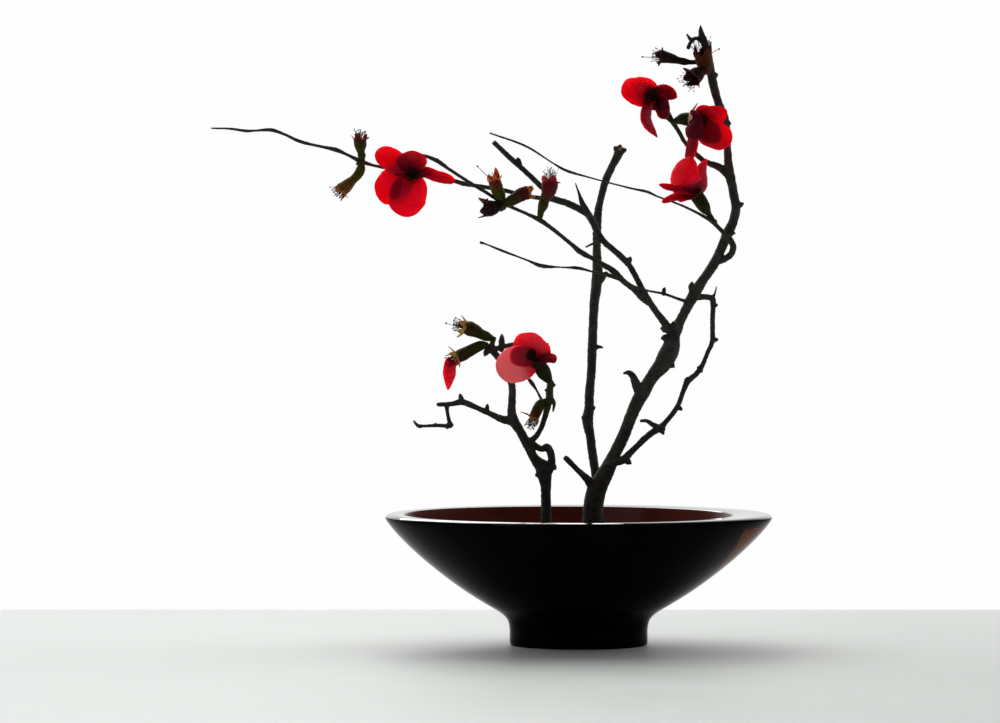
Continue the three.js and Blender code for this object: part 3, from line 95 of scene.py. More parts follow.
TALL_BRANCH = {
  "cut": [1, 3, 9],          # limbs whose ends are cut flat
  "green": [[74, 249, -14, 3.5], [-59, 340, -45, 5]],   # young places: [x, z, depth, reach]
  "limbs": [
    [ # the main stem, from the pin holder to its tip
        foot_point(7.5, -5, 7.2), [9.6, 80, -5, 7.4], [11.7, 110, -6, 7.5], [14.2, 121, -7, 7.2],
        [18.9, 130, -8, 6.5], [24.2, 140, -9, 5.5], [28.8, 150, -10, 4.7], [34.6, 162, -11, 4.7],
        [39.2, 174, -12, 4.6], [44.3, 186, -12.5, 4.9], [49.4, 195.5, -13, 5.4],
        [54.3, 204, -13.5, 4.9], [58.8, 210.5, -14, 5.2], [63.6, 216, -14.5, 6.2],
        [68.2, 223.5, -14.5, 7.2], [71.6, 231, -14.5, 6.7], [73.3, 239.5, -14, 5.2],
        [76.4, 247, -13, 4.5], [79.3, 252.5, -12, 3.6], [84.9, 264, -10, 3.9],
        [88.2, 270, -9, 4.4], [91.6, 276, -7.5, 4.2], [97.6, 285, -5, 3.6], [103.9, 294, -3, 3.8],
        [109.4, 305, 0, 3.6], [114.8, 318, 2, 4], [119.8, 329, 4, 3.6], [121.7, 339, 5.5, 3.5],
        [119.6, 352, 6.5, 3.4], [117, 364.5, 7.5, 3.7], [115.6, 378, 7, 3], [114.7, 392, 6, 2.9],
        [113, 408, 5, 3.2], [108.2, 420, 4, 3.1], [103.4, 438, 2, 3.3], [101.4, 451, 0, 2.9],
        [98.9, 462, -2, 2.6], [96.4, 469, -3, 3], [94.6, 475, -4, 2], [94.2, 481, -4.5, 0.3],
    ],
    [ # cut stub low on the left
        [11, 123, -8, 4], [5.5, 130, -9, 2.9], [-1, 136, -10, 2.1], [-9.5, 144.6, -11, 2.1],
        [-11.4, 146, -11, 1.6]],
    [ # broken stub halfway up, its end curled to the left
        [49, 193, -14, 4.4], [44.8, 202, -15, 3.6], [42, 208.5, -16, 2.6],
        [38.8, 211.4, -17, 2], [34.8, 210.8, -18, 0.8]],
    [ # left limb, from the burl to its cut end
        [72, 242, -14.5, 3.4], [65.4, 251.5, -16, 2.9], [60.4, 258, -17, 2.6],
        [55.6, 265, -18, 2.5], [49.3, 276, -19, 2.4], [43, 288, -18.5, 2.2], [38.8, 295, -18, 2.3],
        [33.2, 301, -17, 2.4], [26.8, 306.6, -16, 2.3], [20, 312.4, -15, 2.4],
        [14.6, 320, -14.5, 2.5], [11.2, 328, -14.5, 2.8], [6.5, 334.6, -15, 2.9],
        [0, 338.4, -15.5, 2.7], [-10, 343.1, -16, 2.6], [-19, 345.8, -17, 2.5],
        [-25, 351.5, -18, 2.2], [-40, 366, -24, 2], [-53, 377.6, -29, 2], [-66.3, 390.3, -33, 1.9],
    ],
    [ # long left twig, carrying the leftmost bloom
        [-17, 345.6, -17, 2.3], [-31, 346.8, -20, 1.7], [-42, 348.5, -22, 1.6],
        [-57, 352.4, -24, 1.7], [-82, 356.6, -27, 1.6], [-90, 357.9, -27.5, 1.8],
        [-103, 362, -28, 1.5], [-120, 365, -28, 1.4], [-137, 367.5, -28, 1.4],
        [-150, 370, -27, 1.3], [-160, 372.2, -26, 1.2], [-168, 374.8, -25, 1.7],
        [-180, 380.5, -23, 1.2], [-187.5, 383.8, -22, 1.7], [-200, 386.6, -20, 1.1],
        [-215.8, 390.4, -17, 1.4], [-228, 396, -14, 1.1], [-238, 399.3, -12, 1.5],
        [-250, 398.9, -9, 0.9], [-257, 398.6, -7, 1.2], [-270, 400.3, -4, 0.9],
        [-284.3, 400.7, 0, 0.7],
    ],
    [ # thinner left twig below it
        [55, 265, -18, 2.4], [49, 269.5, -19.5, 2.5], [42.7, 276, -21, 2.3], [35, 282, -22.5, 2.2],
        [26.5, 290.4, -24.5, 2.4], [17, 296, -27, 1.9], [10, 300.2, -29, 1.7],
        [1.5, 304.8, -31, 2.1], [-7, 312, -34, 1.6], [-22, 324, -38, 1.6], [-30, 329.5, -40, 1.9],
        [-40, 334.3, -42, 1.3], [-59, 343, -44, 1.5], [-71, 350.5, -45, 1.3], [-83, 357.8, -44, 1.3],
        [-100, 368.7, -39, 1.3], [-110, 375.6, -33, 1.7], [-120, 379.5, -28, 1.2],
        [-128, 380.5, -25, 0.8],
    ],
    [ # fine upper twig that loops round the main stem
        [107, 297, -1, 2.3], [112.5, 299, -2, 2.4], [117.5, 302.6, -3, 2.5], [119.8, 308, -4.5, 2.5],
        [118, 313.5, -5.5, 2.3], [113.5, 318.5, -6.5, 1.9], [108, 324, -8, 1.6],
        [104, 328, -10, 1.7], [97, 332.4, -13, 1.3], [80, 340.8, -18, 0.9], [60, 348.3, -22, 0.8],
        [53.9, 351.2, -23, 1.1], [40, 354.3, -24, 0.8], [10, 362.1, -27, 0.7],
        [-10.5, 368.3, -30, 1.1], [-20, 373.7, -32, 0.7], [-41, 386.8, -36, 0.9],
        [-68.8, 396.9, -42, 0.7],
    ],
    [ # fine lower twig
        [86, 266, -10, 2], [80, 267.6, -14, 1.3], [66, 272.4, -20, 1], [52.9, 275, -26, 0.9],
        [46, 276.8, -28, 1.1], [35.3, 281.9, -31, 1], [23.5, 286.8, -33, 1.7],
        [11, 289.5, -34, 0.8], [0.3, 292.3, -35, 1.3], [-14, 293.1, -36, 0.7],
        [-29, 294.2, -38, 1.6], [-40, 298.5, -39, 0.8], [-61.5, 306.7, -41, 1],
        [-72, 311, -42, 0.7], [-76, 312.2, -42, 1.1],
    ],
    [ # right loop, which leaves the stem low and joins it again
        [20.5, 138.6, -12.5, 2], [27, 141.5, -14, 2.9], [34, 143.4, -14, 3], [40.8, 150, -13, 2.5],
        [47, 156, -12, 2.4], [52, 161, -11, 2.5], [58, 165.5, -10, 2.6], [63.5, 169, -9, 2.6],
        [68.3, 174, -8, 2], [73.6, 180.5, -7, 2], [77, 186, -6, 1.9], [81.5, 198, -4, 2],
        [84.5, 204.5, -3, 2.4], [90, 209.3, -2, 2.1], [95, 215.5, -1, 1.9], [100.4, 228, 0, 1.7],
        [103.4, 235, 0, 1.9], [103.7, 250, 0, 1.9], [104, 264, -2, 2], [103.6, 268.6, -3, 2.4],
        [98, 270, -5, 2.2], [90, 269.6, -7, 2.6],
    ],
    [ # spur on the right loop
        [65, 167.5, -10, 2.4], [57, 171.4, -12, 1.9], [52.5, 174, -13, 1.4],
        [47.4, 173.8, -14, 1.2]],
    [ # side limb near the top, which carries two blooms
        [117, 362, 7, 2.6], [110, 369.8, 8, 2.9], [103, 372.8, 8, 2.4], [97, 375.5, 7.5, 2],
        [91.5, 380, 7, 1.9], [82, 390, 5, 1.6], [78.7, 396, 4, 1.6], [75, 402, 2, 1.7],
        [72.6, 405.4, 0, 2],
    ],
    [ # forked spur behind the tip
        [97.5, 466, -3, 2], [91, 470.4, -4, 1.5], [87.3, 469, -5, 1.6], [83.4, 473.6, -6, 0.6]],
    [[88.2, 469.5, -5, 1.4], [85.6, 465.4, -6, 1.4], [84.8, 463.2, -7, 1.6]],
    [[12.5, 325, -15, 2.4], [6.4, 336.4, -18, 2.2], [2.4, 343.4, -20, 2],
      [0.4, 349.6, -21, 1.1], [-2.6, 358.2, -22, 0.5]],
    [[18, 313.8, -16, 1.5], [11.5, 311.6, -20, 1], [5.4, 308.6, -23, 0.7]],
    [[66, 272, -20, 1.4], [66.2, 275.8, -20.5, 1.6], [66.8, 277, -20.5, 0.8]],
    [[103.6, 269, -3, 1.6], [105.4, 272.6, -4, 0.9], [106.8, 278, -5, 0.5]],
  ],
  # buds and knots: [x, z, depth, radius, how far it reaches in x, in z]
  "buds": [
    [69, 245, -16, 2.6, -4.6, 0.6], [70.5, 219, -15, 2.4, 3, -3], [88.2, 275, -10, 2.6, -0.6, 5.6],
    [122.6, 340.5, 4, 2.2, 4.4, 1.8], [117.5, 320, 1, 1.8, 3.2, -0.6], [38.6, 297, -18, 2, 1.4, 3.6],
    [-46, 374, -27, 1.7, -1.4, 3.6], [83.4, 203.6, -3.5, 1.8, 0.8, 3.8],
    [93.6, 214.4, -1, 1.6, 2, -2.4],
    [77.4, 184.6, -6, 1.6, 2.6, -2], [63.5, 168, -9, 2, 2.2, -4], [104.4, 236.4, 0, 1.6, 3.4, 0.8],
    [104.6, 441.4, 1.5, 2, 2.6, 1], [-58.6, 342.6, -44.4, 3, -1.6, -5],
    [-168.2, 374.6, -25, 2, -3.6, -1.6],
    [68.4, 238.6, -16, 2.4, -3.8, -0.6], [74, 247.5, -17, 2.8, -0.6, 2.6],
    [36.5, 143.6, -14, 2.2, 3.6, -2.6],
    [104.4, 263.6, -2, 1.6, 3, 0.2], [115, 405, 4.5, 1.7, 2.4, -0.8],
    [-109.6, 375.4, -33.4, 1.3, -0.6, 1.8],
    [105.6, 327.6, -10, 1.7, -0.6, 2.4], [28, 289.4, -24, 1.7, -1.6, 2.2],
    [0.8, 305.4, -31, 1.6, -1.8, -1],
  ],
}

UPRIGHT_BRANCH = {
  "cut": [0],
  "green": [],
  "limbs": [
    [
        foot_point(17.5, 15, 3.4), [16.5, 97, 15, 3.5], [14.2, 125, 15, 3.5], [10.5, 150, 16, 3.4],
        [8.8, 163, 16.5, 3.5], [7.3, 171, 17, 4], [7, 176, 17, 4.4], [7.9, 182, 17, 3.8],
        [8.4, 195, 17, 3.5], [9.8, 213, 18, 3.4], [10.5, 231, 18, 3.5], [11.3, 252, 19, 3.4],
        [12.3, 267, 19.5, 3.6], [13.8, 279, 20, 4.1], [14.6, 290, 20, 4], [14, 304, 20.5, 3.2],
        [14.3, 322, 21, 3.2], [15.2, 337, 21.5, 3], [18.3, 351, 22.5, 2.7], [21, 360.5, 23, 2.9],
        [26.2, 372, 23.5, 2.9], [29.4, 378, 24, 3.3], [32, 383.8, 24, 4],
    ],
    [[12, 230.5, 18, 2.4], [15.8, 231.4, 17, 1.4], [18.4, 230.8, 16.5, 0.8]],
    [[14, 280, 20, 3], [18, 285, 18.5, 2.8], [21.4, 288.4, 17.5, 1.6]],
  ],
  "buds": [
    [29.6, 384, 21, 1.9, -1.8, 2.2], [33.4, 383, 21, 2, 3, 1.2], [31.6, 385.6, 21.6, 1.7, 0.8, 2],
    [5, 175.6, 16, 2, -2.2, 1.4], [9.6, 183, 16, 1.8, 2.8, 1.6], [13, 320, 19, 1.8, 2, 3],
  ],
}

LOW_BRANCH = {
  "cut": [],
  "green": [[-22.8, 196, -12.8, 7], [-22, 203, -13.4, 5], [-24, 187, -12, 6]],
  "limbs": [
    [ # stem, left arm and the upright that rises behind the pale bloom
        foot_point(-25.5, 0, 3.8), [-25.3, 97, 0, 3.9], [-25.5, 122, -1, 3.9],
        [-26.2, 130.5, -1.5, 5.2], [-28, 137.6, -2, 5.8], [-33.4, 143.6, -3, 3.9],
        [-37.2, 150, -4, 3.4], [-43.3, 162, -6, 3.4], [-46.6, 168, -7, 3.5], [-50.4, 174, -8, 3.9],
        [-51.9, 181, -8, 3.3], [-51.6, 190, -7.5, 2.9], [-51.6, 200, -6.5, 2.7],
        [-55, 212, -5, 2.7], [-60.5, 220.5, -4, 2.6], [-65, 226, -3, 2.5], [-68.8, 229.8, -3, 2.5],
    ],
    [ # right arm, curled back to the left arm
        [-25, 134, -2, 4.4], [-21.6, 139, -2, 3.4], [-20.9, 144.6, -2.5, 2.8],
        [-22.2, 150.5, -3, 2.9], [-25, 153.8, -3.5, 2.8], [-28.6, 152, -4, 2.3],
        [-32.6, 154, -5, 2.3], [-38.6, 158.4, -5.5, 2.6],
    ],
    [ # twig with the green shoot under the pale bloom
        [-40, 156.5, -5, 2.6], [-33.5, 161.5, -7, 2.2], [-29.4, 168, -9, 2], [-27, 174, -10, 2.1],
        [-25, 181, -11, 2.3], [-23.6, 187, -12, 2.7], [-22.6, 193, -12.5, 3], [-22.4, 199, -13, 2.7],
        [-21.8, 203.5, -13.5, 2.7],
    ],
    [ # left side branch
        [-49.6, 173.6, -8, 3.6], [-60, 175.5, -9, 2.9], [-65, 177.8, -10, 2.3],
        [-80, 184.6, -12, 2.1], [-86, 187.3, -13, 2.4], [-91, 188.6, -13.5, 2.3],
        [-98, 187.2, -14, 1.9], [-108.8, 186.7, -14, 1.6],
    ],
    [ # its hanging twig
        [-102.6, 187, -14, 1.7], [-101.5, 179, -13.5, 1.4], [-100, 172.6, -13, 1.6],
        [-98.6, 170.4, -12.5, 1.9], [-104, 170.2, -12, 1.5], [-111, 170.4, -12, 1.4],
        [-119, 170, -12, 1.2], [-124.5, 170.1, -12, 1.4], [-127.8, 173.8, -12, 0.8],
    ],
    [[-69, 229, -3, 2], [-60, 231, -3, 1.9], [-50.6, 233.4, -3, 1.7]],
    [[-68, 229, -3, 2.4], [-67, 234, -3.5, 2], [-65.8, 237.6, -4, 1.9]],
    [[-25, 186, -12, 1.6], [-29.4, 191.6, -12.6, 1.1], [-32.5, 197.5, -13.5, 0.9],
    [-36.8, 204, -15, 1.6],
      [-39.8, 207.4, -15.5, 0.8]],
    [[-22.4, 192, -12.6, 2], [-19, 188, -14, 1.5], [-20, 181.4, -15, 0.7]],
  ],
  "buds": [
    [-90.4, 189.4, -13.5, 1.7, -1.6, 5], [-71, 182, -11, 1.5, 0.2, 4.6],
    [-59.8, 231.6, -3, 2.1, 0.2, 8.4],
    [-30.5, 132.6, -2, 2, -2.6, -1], [-101.6, 170.4, -12.6, 1.5, -0.4, -2.4],
    [-70.4, 229.6, -4, 2.2, -2.4, -4.6], [-20.4, 201.6, -14, 1.6, 2.2, 0.4],
    [-111, 170.6, -12, 1.1, -0.2, 1.6],
    [-122.6, 170, -12, 1.1, -0.6, -1.6], [-23, 197, -15, 1.5, -3, 1], [-19.6, 140, -3, 1.6, 1.6, -3.6],
  ],
}

# ---------------------------------------------------------------- blooms
# Calyx points are [x, z, depth, radius]; a calyx opens at its last point. Axis and face are
# directions [x, y, z]: the way the bloom looks, and the way the inside of a petal looks. A petal
# grows from the hub along the [x, z, depth] points of its path to its tip. Claw is the share of
# its width that it starts with, widest how far along it is widest, blunt how square its tip is
# and cup how far its sides bend inwards.
# Colour alone: deep is painted shade that darkens a whole petal, where less of the light behind comes
# through it; below zero it lightens the petal.
# Base is painted shade round its claw, where the hub and the calyx stand against the light, by half where
# nothing is said. The shade oval is painted shade where petals overlap against the light: [share of the
# length, of the half width, reach along, reach across, strength].

BLOOMS = {
  "bloom_left": {
    "calyx": [[-129.6, 366.2, -29, 2.2], [-129.4, 366, -33, 3.4], [-129.2, 365.8, -36, 4.6]],
    "sepals": { "length": 5, "flare": 1.4 },
    "hub": [-129.2, 365.6, -37],
    "axis": [0, -1, -0.1],
    "stamens": { "count": 8, "length": 8.5, "spread": 0.75, "core": 1.7 },
    "petals": [
      { "path": [[-139.6, 372.4, -36], [-148, 377.8, -37.4], [-157.6, 381.4, -40]],
        "width": 18, "face": [0.2, -1, 0], "blunt": 0.4, "claw": 0.5, "base": 0.9 },
      { "path": [[-129.6, 372, -38.6], [-129.6, 377.6, -40], [-129.8, 383.2, -43]],
        "width": 24, "face": [0, -1, -0.2], "blunt": 0.4, "claw": 0.3, "deep": 0.55 },
      { "path": [[-118.9, 366, -37], [-108.3, 362.6, -38.4], [-96.4, 359.4, -41]],
        "width": 9.6, "face": [0, -1, 0.4], "blunt": 0.6, "claw": 1, "deep": 0.25, "base": 1 },
      { "path": [[-138.6, 360.2, -37], [-147.6, 354.6, -37], [-157.8, 352, -39]],
        "width": 27, "face": [0.2, -1, 0], "blunt": 0.4, "claw": 0.35, "base": 0.3 },
      { "path": [[-130.6, 355, -41], [-133, 345, -44], [-133.8, 332, -49]],
        "width": 29, "face": [0, -1, 0.2], "blunt": 0.4, "claw": 0.3, "base": 0.2, "deep": -0.4,
        "shade_oval": [0.4, 0.75, 0.27, 0.36, 0.65] },
    ],
  },
  "bloom_upper": {
    "calyx": [[72.4, 406, -0.6, 1.9], [68.6, 410.6, -4, 3.2], [65.6, 414.2, -6, 4.4],
      [63, 417.6, -8, 4.8]],
    "sepals": { "length": 5.5, "flare": 0.6 },
    "hub": [61.6, 419.6, -9],
    "axis": [-0.62, -0.3, 0.72],
    "stamens": { "count": 6, "length": 11, "spread": 0.5, "core": 1.7 },
    "petals": [
      { "path": [[52, 425.6, -6], [43, 429.4, -5], [32.8, 430.4, -6]],
        "width": 21, "face": [-0.1, -1, 0.1], "blunt": 0.4, "claw": 0.3, "shade_oval": [0, 0, 0.38, 1.6, 0.85] },
      { "path": [[62.6, 425.4, -7], [68, 427.6, -6], [76, 424.4, -5]],
        "width": 15, "face": [0.1, -1, 0.25], "blunt": 0.1, "claw": 0.9, "widest": 0.35, "deep": 0.85 },
      { "path": [[64.4, 419.6, -15.4], [66.4, 415, -17.4], [66.2, 407.6, -17]],
        "width": 14, "face": [-0.6, -0.7, 0.2], "blunt": 0.6, "claw": 0.8, "deep": 1 },
      { "path": [[55.4, 418.2, -16], [52.8, 408, -19.4], [60.9, 393.5, -18]],
        "width": 12, "face": [-0.7, -0.7, 0], "blunt": 0.05, "widest": 0.46, "deep": 0.7 },
      { "path": [[54.4, 428.6, 0], [48, 431.6, 4], [40, 431.4, 7]],
        "width": 19, "face": [-0.3, -1, 0], "blunt": 0.4, "shade_oval": [0, 0, 0.4, 1.6, 0.85] },
    ],
  },
  "bloom_right": {
    "calyx": [[73.4, 405.6, -1.2, 1.9], [77.4, 407, -3.6, 3.5], [81, 407.8, -6, 4.9],
      [86, 407.6, -8, 5.3]],
    "sepals": { "length": 5, "flare": 0.5, "tips": [[92.4, 420, -12]] },
    "hub": [88, 407.5, -9.4],
    "axis": [0.78, -0.62, -0.05],
    "stamens": { "count": 7, "length": 9, "spread": 0.5, "core": 1.7 },
    "petals": [
      { "path": [[96, 412.4, -9.4], [105, 413.6, -9], [115, 413, -11]],
        "width": 14, "face": [0.2, -0.8, -0.5], "cup": 0.4, "blunt": 0.6, "claw": 0.45, "widest": 0.75,
        "deep": 0.15 },
      { "path": [[96, 400.4, -13], [105, 393.8, -15], [116.8, 387.4, -20]],
        "width": 25, "face": [0.3, -1, 0.3], "cup": 0.35, "blunt": 0.45, "claw": 0.3,
        "shade_oval": [0.36, 0, 0.42, 0.84, 0.7] },
      { "path": [[88.6, 398, -13.4], [87.2, 388, -14], [84.4, 376.6, -13]],
        "width": 11, "face": [0.6, -0.8, 0], "blunt": 0.8, "claw": 0.6, "deep": 0.8 },
      { "path": [[88.4, 407, -17], [88.6, 401.4, -22], [89.4, 391.6, -23]],
        "width": 15, "face": [0.3, 0.95, 0.2], "blunt": 0.6, "claw": 0.8, "deep": 1 },
      { "path": [[94, 411, -2.6], [99, 411, -0.8], [104, 409.6, -0.6]],
        "width": 15, "face": [0.6, -0.8, 0], "blunt": 0.4, "deep": 0.5 },
    ],
  },
  "bloom_middle": {
    "calyx": [[103.6, 330.6, -10.8, 1.6], [100.6, 334.6, -11, 2.4], [98.2, 338.2, -11.4, 4.4],
      [95.2, 342.8, -12, 5.3], [91.8, 348, -12, 5.3]],
    "sepals": { "length": 3.4, "flare": 0.4 },
    "hub": [90.7, 350, -12],
    "axis": [-0.42, -0.12, 0.9],
    "stamens": { "count": 7, "length": 9, "spread": 0.3, "core": 1.7 },
    "petals": [
      { "path": [[83.6, 354.6, -20], [81.8, 365, -23], [87, 378.6, -21]],
        "width": 25, "face": [0.35, 1, -0.1], "blunt": 0.25, "widest": 0.35, "claw": 0.8,
        "shade_oval": [0, 0, 0.36, 1.6, 0.8] },
      { "path": [[95, 356, -14], [95.8, 367, -14], [99, 377, -12]],
        "width": 15, "face": [-0.6, 0.8, 0.2], "blunt": 0.05, "widest": 0.4, "claw": 0.8, "deep": 0.4 },
      { "path": [[81.6, 351.6, -21.6], [72, 353.6, -27], [62, 356.6, -28]],
        "width": 9, "face": [0, -0.7, 0.7], "blunt": 0.3, "claw": 0.8, "deep": 0.4 },
      { "path": [[82.6, 346.8, -20.6], [74, 346.4, -26], [64.6, 343, -28]],
        "width": 9, "face": [0, -0.7, 0.7], "blunt": 0.3, "claw": 0.8, "deep": 0.4 },
      { "path": [[91.6, 358, -4], [91.6, 365, -1], [91.4, 371, -2]],
        "width": 16, "face": [-0.2, -1, -0.1], "blunt": 0.4, "base": 1 },
    ],
  },
  "bloom_low": {
    "calyx": [[-22.2, 204.2, -13.6, 2.4], [-24.6, 207.8, -14.4, 4.3], [-27.4, 212, -15.4, 5.7],
      [-30.4, 217.6, -16.4, 5.5]],
    "sepals": { "length": 6, "flare": 0.5 },
    "hub": [-32, 219.8, -17],
    "axis": [-0.5, -0.5, 0.55],
    "stamens": { "count": 7, "length": 9, "spread": 0.5, "core": 1.7 },
    "petals": [
      { "path": [[-35, 228, -19], [-36.4, 235, -20], [-35.6, 242.4, -23]],
        "width": 29, "face": [-0.2, -1, -0.3], "cup": 0.25, "blunt": 0.4, "widest": 0.42, "claw": 0.6,
        "deep": 0.1 },
      { "path": [[-43, 218.8, -23], [-53, 216.4, -25], [-64.2, 215.4, -29]],
        "width": 28, "face": [-0.1, -1, 0.1], "cup": 0.25, "blunt": 0.4, "widest": 0.54, "claw": 0.3,
        "deep": -0.9, "shade_oval": [0.22, 0.4, 0.42, 0.7, 0.75] },
      { "path": [[-26, 222, -22], [-21.6, 222, -23], [-17.2, 220.6, -23]],
        "width": 8, "face": [0.1, -1, 0.4], "cup": 0.5, "blunt": 0.6, "claw": 0.6, "deep": 1 },
      { "path": [[-31, 227, -9], [-33, 233, -6], [-33.6, 238.6, -6]],
        "width": 17, "face": [-0.3, -1, 0.2], "blunt": 0.4 },
    ],
  },
}

# Spent blooms have dropped their petals. The calyx opens at its last point; tips are where
# single sepals end, and the other sepals of the five follow the length and flare.
SPENT = {
  "spent_far_up": {
    "calyx": [[-168, 377.4, -25, 2.6], [-168.1, 379.4, -25, 3.2], [-168.6, 382.2, -25, 2.9],
      [-169.2, 386.6, -25, 4.5], [-169.4, 391.4, -25, 4.9]],
    "sepals": { "length": 4.6, "flare": 0.1,
      "tips": [[-175.6, 395, -25], [-163, 393.6, -26], [-171, 396.4, -20.6]] },
    "stamens": { "count": 6, "length": 9, "spread": 0.4, "core": 2.6 },
  },
  "spent_far_down": {
    "calyx": [[-168.2, 373.6, -26, 2.2], [-168.8, 369.2, -26.8, 3.6], [-171, 364.8, -27.2, 3.6],
      [-174.4, 361.2, -27.6, 3.4], [-178.6, 357.4, -28, 4.6], [-183.2, 353.6, -28, 5.4]],
    "sepals": { "length": 4.8, "flare": 0.1, "tips": [[-189.6, 353.8, -28], [-179.4, 347, -28]] },
    "stamens": { "count": 6, "length": 9, "spread": 0.55, "core": 2.8 },
  },
  "spent_mid_up": {
    "calyx": [[-59, 345.6, -45.6, 2.6], [-60.4, 348, -46, 4.2], [-62.6, 351.8, -46, 4.8],
      [-64, 355.8, -46, 5.1], [-65, 359.6, -46, 4.9]],
    "sepals": { "length": 5, "flare": 0.1,
      "tips": [[-64.8, 370, -41.4], [-60.4, 364, -50.4], [-69.8, 362.6, -46]] },
    "stamens": { "count": 6, "length": 8, "spread": 0.45, "core": 2.4, "style": [-78.4, 371.2, -46] },
  },
  "spent_mid_left": {
    "calyx": [[-60, 341.8, -45.2, 2.3], [-63.2, 340.4, -47.6, 4.4], [-67.2, 339, -48.6, 6.1],
      [-71.2, 338.6, -49, 6.2]],
    "sepals": { "length": 5.4, "flare": 0.5,
      "tips": [[-77.6, 331.9, -49], [-69.3, 330.6, -50], [-70, 345.6, -50], [-77, 340.4, -54.6]] },
    "stamens": { "count": 6, "length": 6, "spread": 0.5, "core": 2.6 },
  },
  "spent_mid_right": {
    "calyx": [[-57, 341.8, -46, 2.4], [-53.4, 344, -48.4, 4.1], [-48.8, 346.6, -49, 4.6],
      [-44.4, 349.4, -49.2, 5.3], [-39.6, 351, -49.4, 5.2]],
    "sepals": { "length": 4.6, "flare": 0.1, "tips": [[-35.4, 355.4, -49.6]] },
    "stamens": { "count": 6, "length": 5, "spread": 0.4, "core": 2.4 },
  },
  "spent_near_up": {
    "calyx": [[-30, 332, -41, 2.2], [-29.2, 336.6, -42, 2.8], [-27.6, 341, -43, 4],
      [-26.4, 345.6, -43.4, 3.9], [-24, 350.2, -44, 5.2], [-22.8, 354.6, -44.2, 6.3],
      [-22.4, 359, -44.4, 6.1]],
    "sepals": { "length": 4.6, "flare": 0.05, "tips": [[-14, 358.4, -45], [-26.8, 362.8, -46]] },
    "stamens": { "count": 6, "length": 12, "spread": 0.3, "core": 3 },
  },
  "spent_top_left": {
    "calyx": [[91.2, 451.9, -8.6, 1.8], [86, 451.8, -8.6, 1.9], [82, 452.2, -8.8, 2.8],
      [77, 453.2, -9, 2.8],
      [72.6, 454.4, -9.6, 3.7], [68.6, 455.4, -10, 4.4], [64.4, 456.2, -10.6, 5.4]],
    "sepals": { "length": 4.4, "flare": 0.4, "tips": [[64.4, 463, -10], [61.6, 449.6, -11]] },
    "stamens": { "count": 6, "length": 9, "spread": 0.5, "core": 2.8, "style": [49.3, 455.9, -11] },
  },
  "spent_top_right": {
    "calyx": [[100, 444, -5, 2.4], [99, 446.4, -7.4, 4.8], [97.6, 451, -9.4, 6.6],
      [96.4, 456.4, -10.4, 6.8]],
    "sepals": { "length": 6, "flare": 0.35, "tips": [[90.4, 464.4, -10], [101.6, 466.6, -11]] },
    "stamens": { "count": 6, "length": 15, "spread": 0.6, "core": 2.8, "style": [108.6, 462, -14] },
  },
  "spent_top_under": {
    "calyx": [[97, 445, -9.6, 2.2], [94.8, 444.2, -13, 4.2], [92, 442.6, -15.6, 5.8],
      [89, 440.2, -17.4, 6.4]],
    "sepals": { "length": 5.4, "flare": 0.7, "tips": [[81, 447, -19], [83.4, 434.8, -20]] },
    "stamens": { "count": 7, "length": 12, "spread": 0.6, "core": 2.5 },
  },
  "spent_low_up": {
    "calyx": [[-66.8, 237.8, -4.4, 2.1], [-71.4, 239.4, -6, 3.8], [-76, 241.4, -6.8, 4.1],
      [-80.4, 243.9, -7.6, 5.2], [-84.2, 245.4, -8, 5.8], [-87.4, 246.4, -8.4, 5.1]],
    "sepals": { "length": 6, "flare": 0.1, "tips": [[-91, 255, -8], [-94.2, 239.4, -8.6]] },
    "stamens": { "count": 7, "length": 11, "spread": 0.35, "core": 2.8, "style": [-102.8, 249.6, -9] },
  },
  "spent_low_down": {
    "calyx": [[-71.6, 233, -6, 2.2], [-75.6, 232.4, -8.4, 3.8], [-80, 230.6, -10, 4.2],
      [-85, 228, -11, 4.6], [-89.6, 225.6, -11.6, 5], [-93.6, 223.6, -12, 4.8]],
    "sepals": { "length": 5.4, "flare": 0.2, "tips": [[-101, 231.6, -12], [-100.2, 225.6, -16.4],
      [-92.6, 216, -13]] },
    "stamens": { "count": 6, "length": 10, "spread": 0.45, "core": 2.8 },
    "petal": { "root": [-96.6, 221.4, -13.4],
      "path": [[-98.6, 216.4, -14], [-99.6, 208, -14.6], [-101.2, 197.8, -14]],
      "width": 12.5, "face": [-0.6, -0.8, 0], "blunt": 0.05, "claw": 0.7, "widest": 0.4 },
  },
  "spent_shoot": {
    "calyx": [[-26.4, 189.4, -13.6, 2], [-29.4, 187, -15.4, 3.8], [-32, 182.4, -16.4, 4.2],
      [-34.2, 177.4, -17, 3.9]],
    "sepals": { "length": 5, "flare": 0.1, "tips": [[-45, 180.8, -17]] },
    "stamens": { "count": 7, "length": 10, "spread": 0.3, "core": 2.2 },
  },
}


# ---------------------------------------------------------------- curves and draws


def draw(i, k):
    """A repeatable number between 0 and 1 for a pair of whole numbers."""
    wave = math.sin(i * 12.9898 + k * 78.233) * 43758.5453
    return wave - math.floor(wave)


def unit(vector):
    return vector / np.linalg.norm(vector)


def smooth(rows, step):
    """Rows of numbers, every step, on a curve through rows whose first three are a point."""
    rows = np.array(rows, float)
    rows = np.vstack([2 * rows[0] - rows[1], rows, 2 * rows[-1] - rows[-2]])
    found = []
    for a, b, c, d in zip(rows, rows[1:], rows[2:], rows[3:]):
        spans = [np.linalg.norm((q - p)[:3]) for p, q in ((a, b), (b, c), (c, d))]
        knots = np.cumsum([0] + [max(span, 0.01) ** 0.5 for span in spans])
        count = max(2, round(np.linalg.norm((c - b)[:3]) / step))
        for t in np.linspace(knots[1], knots[2], count, endpoint=False):
            def between(p, q, i, j):
                return ((knots[j] - t) * p + (t - knots[i]) * q) / (knots[j] - knots[i])
            ab, bc, cd = between(a, b, 0, 1), between(b, c, 1, 2), between(c, d, 2, 3)
            found.append(between(between(ab, bc, 0, 2), between(bc, cd, 1, 3), 1, 2))
    return np.array(found + [rows[-2]])


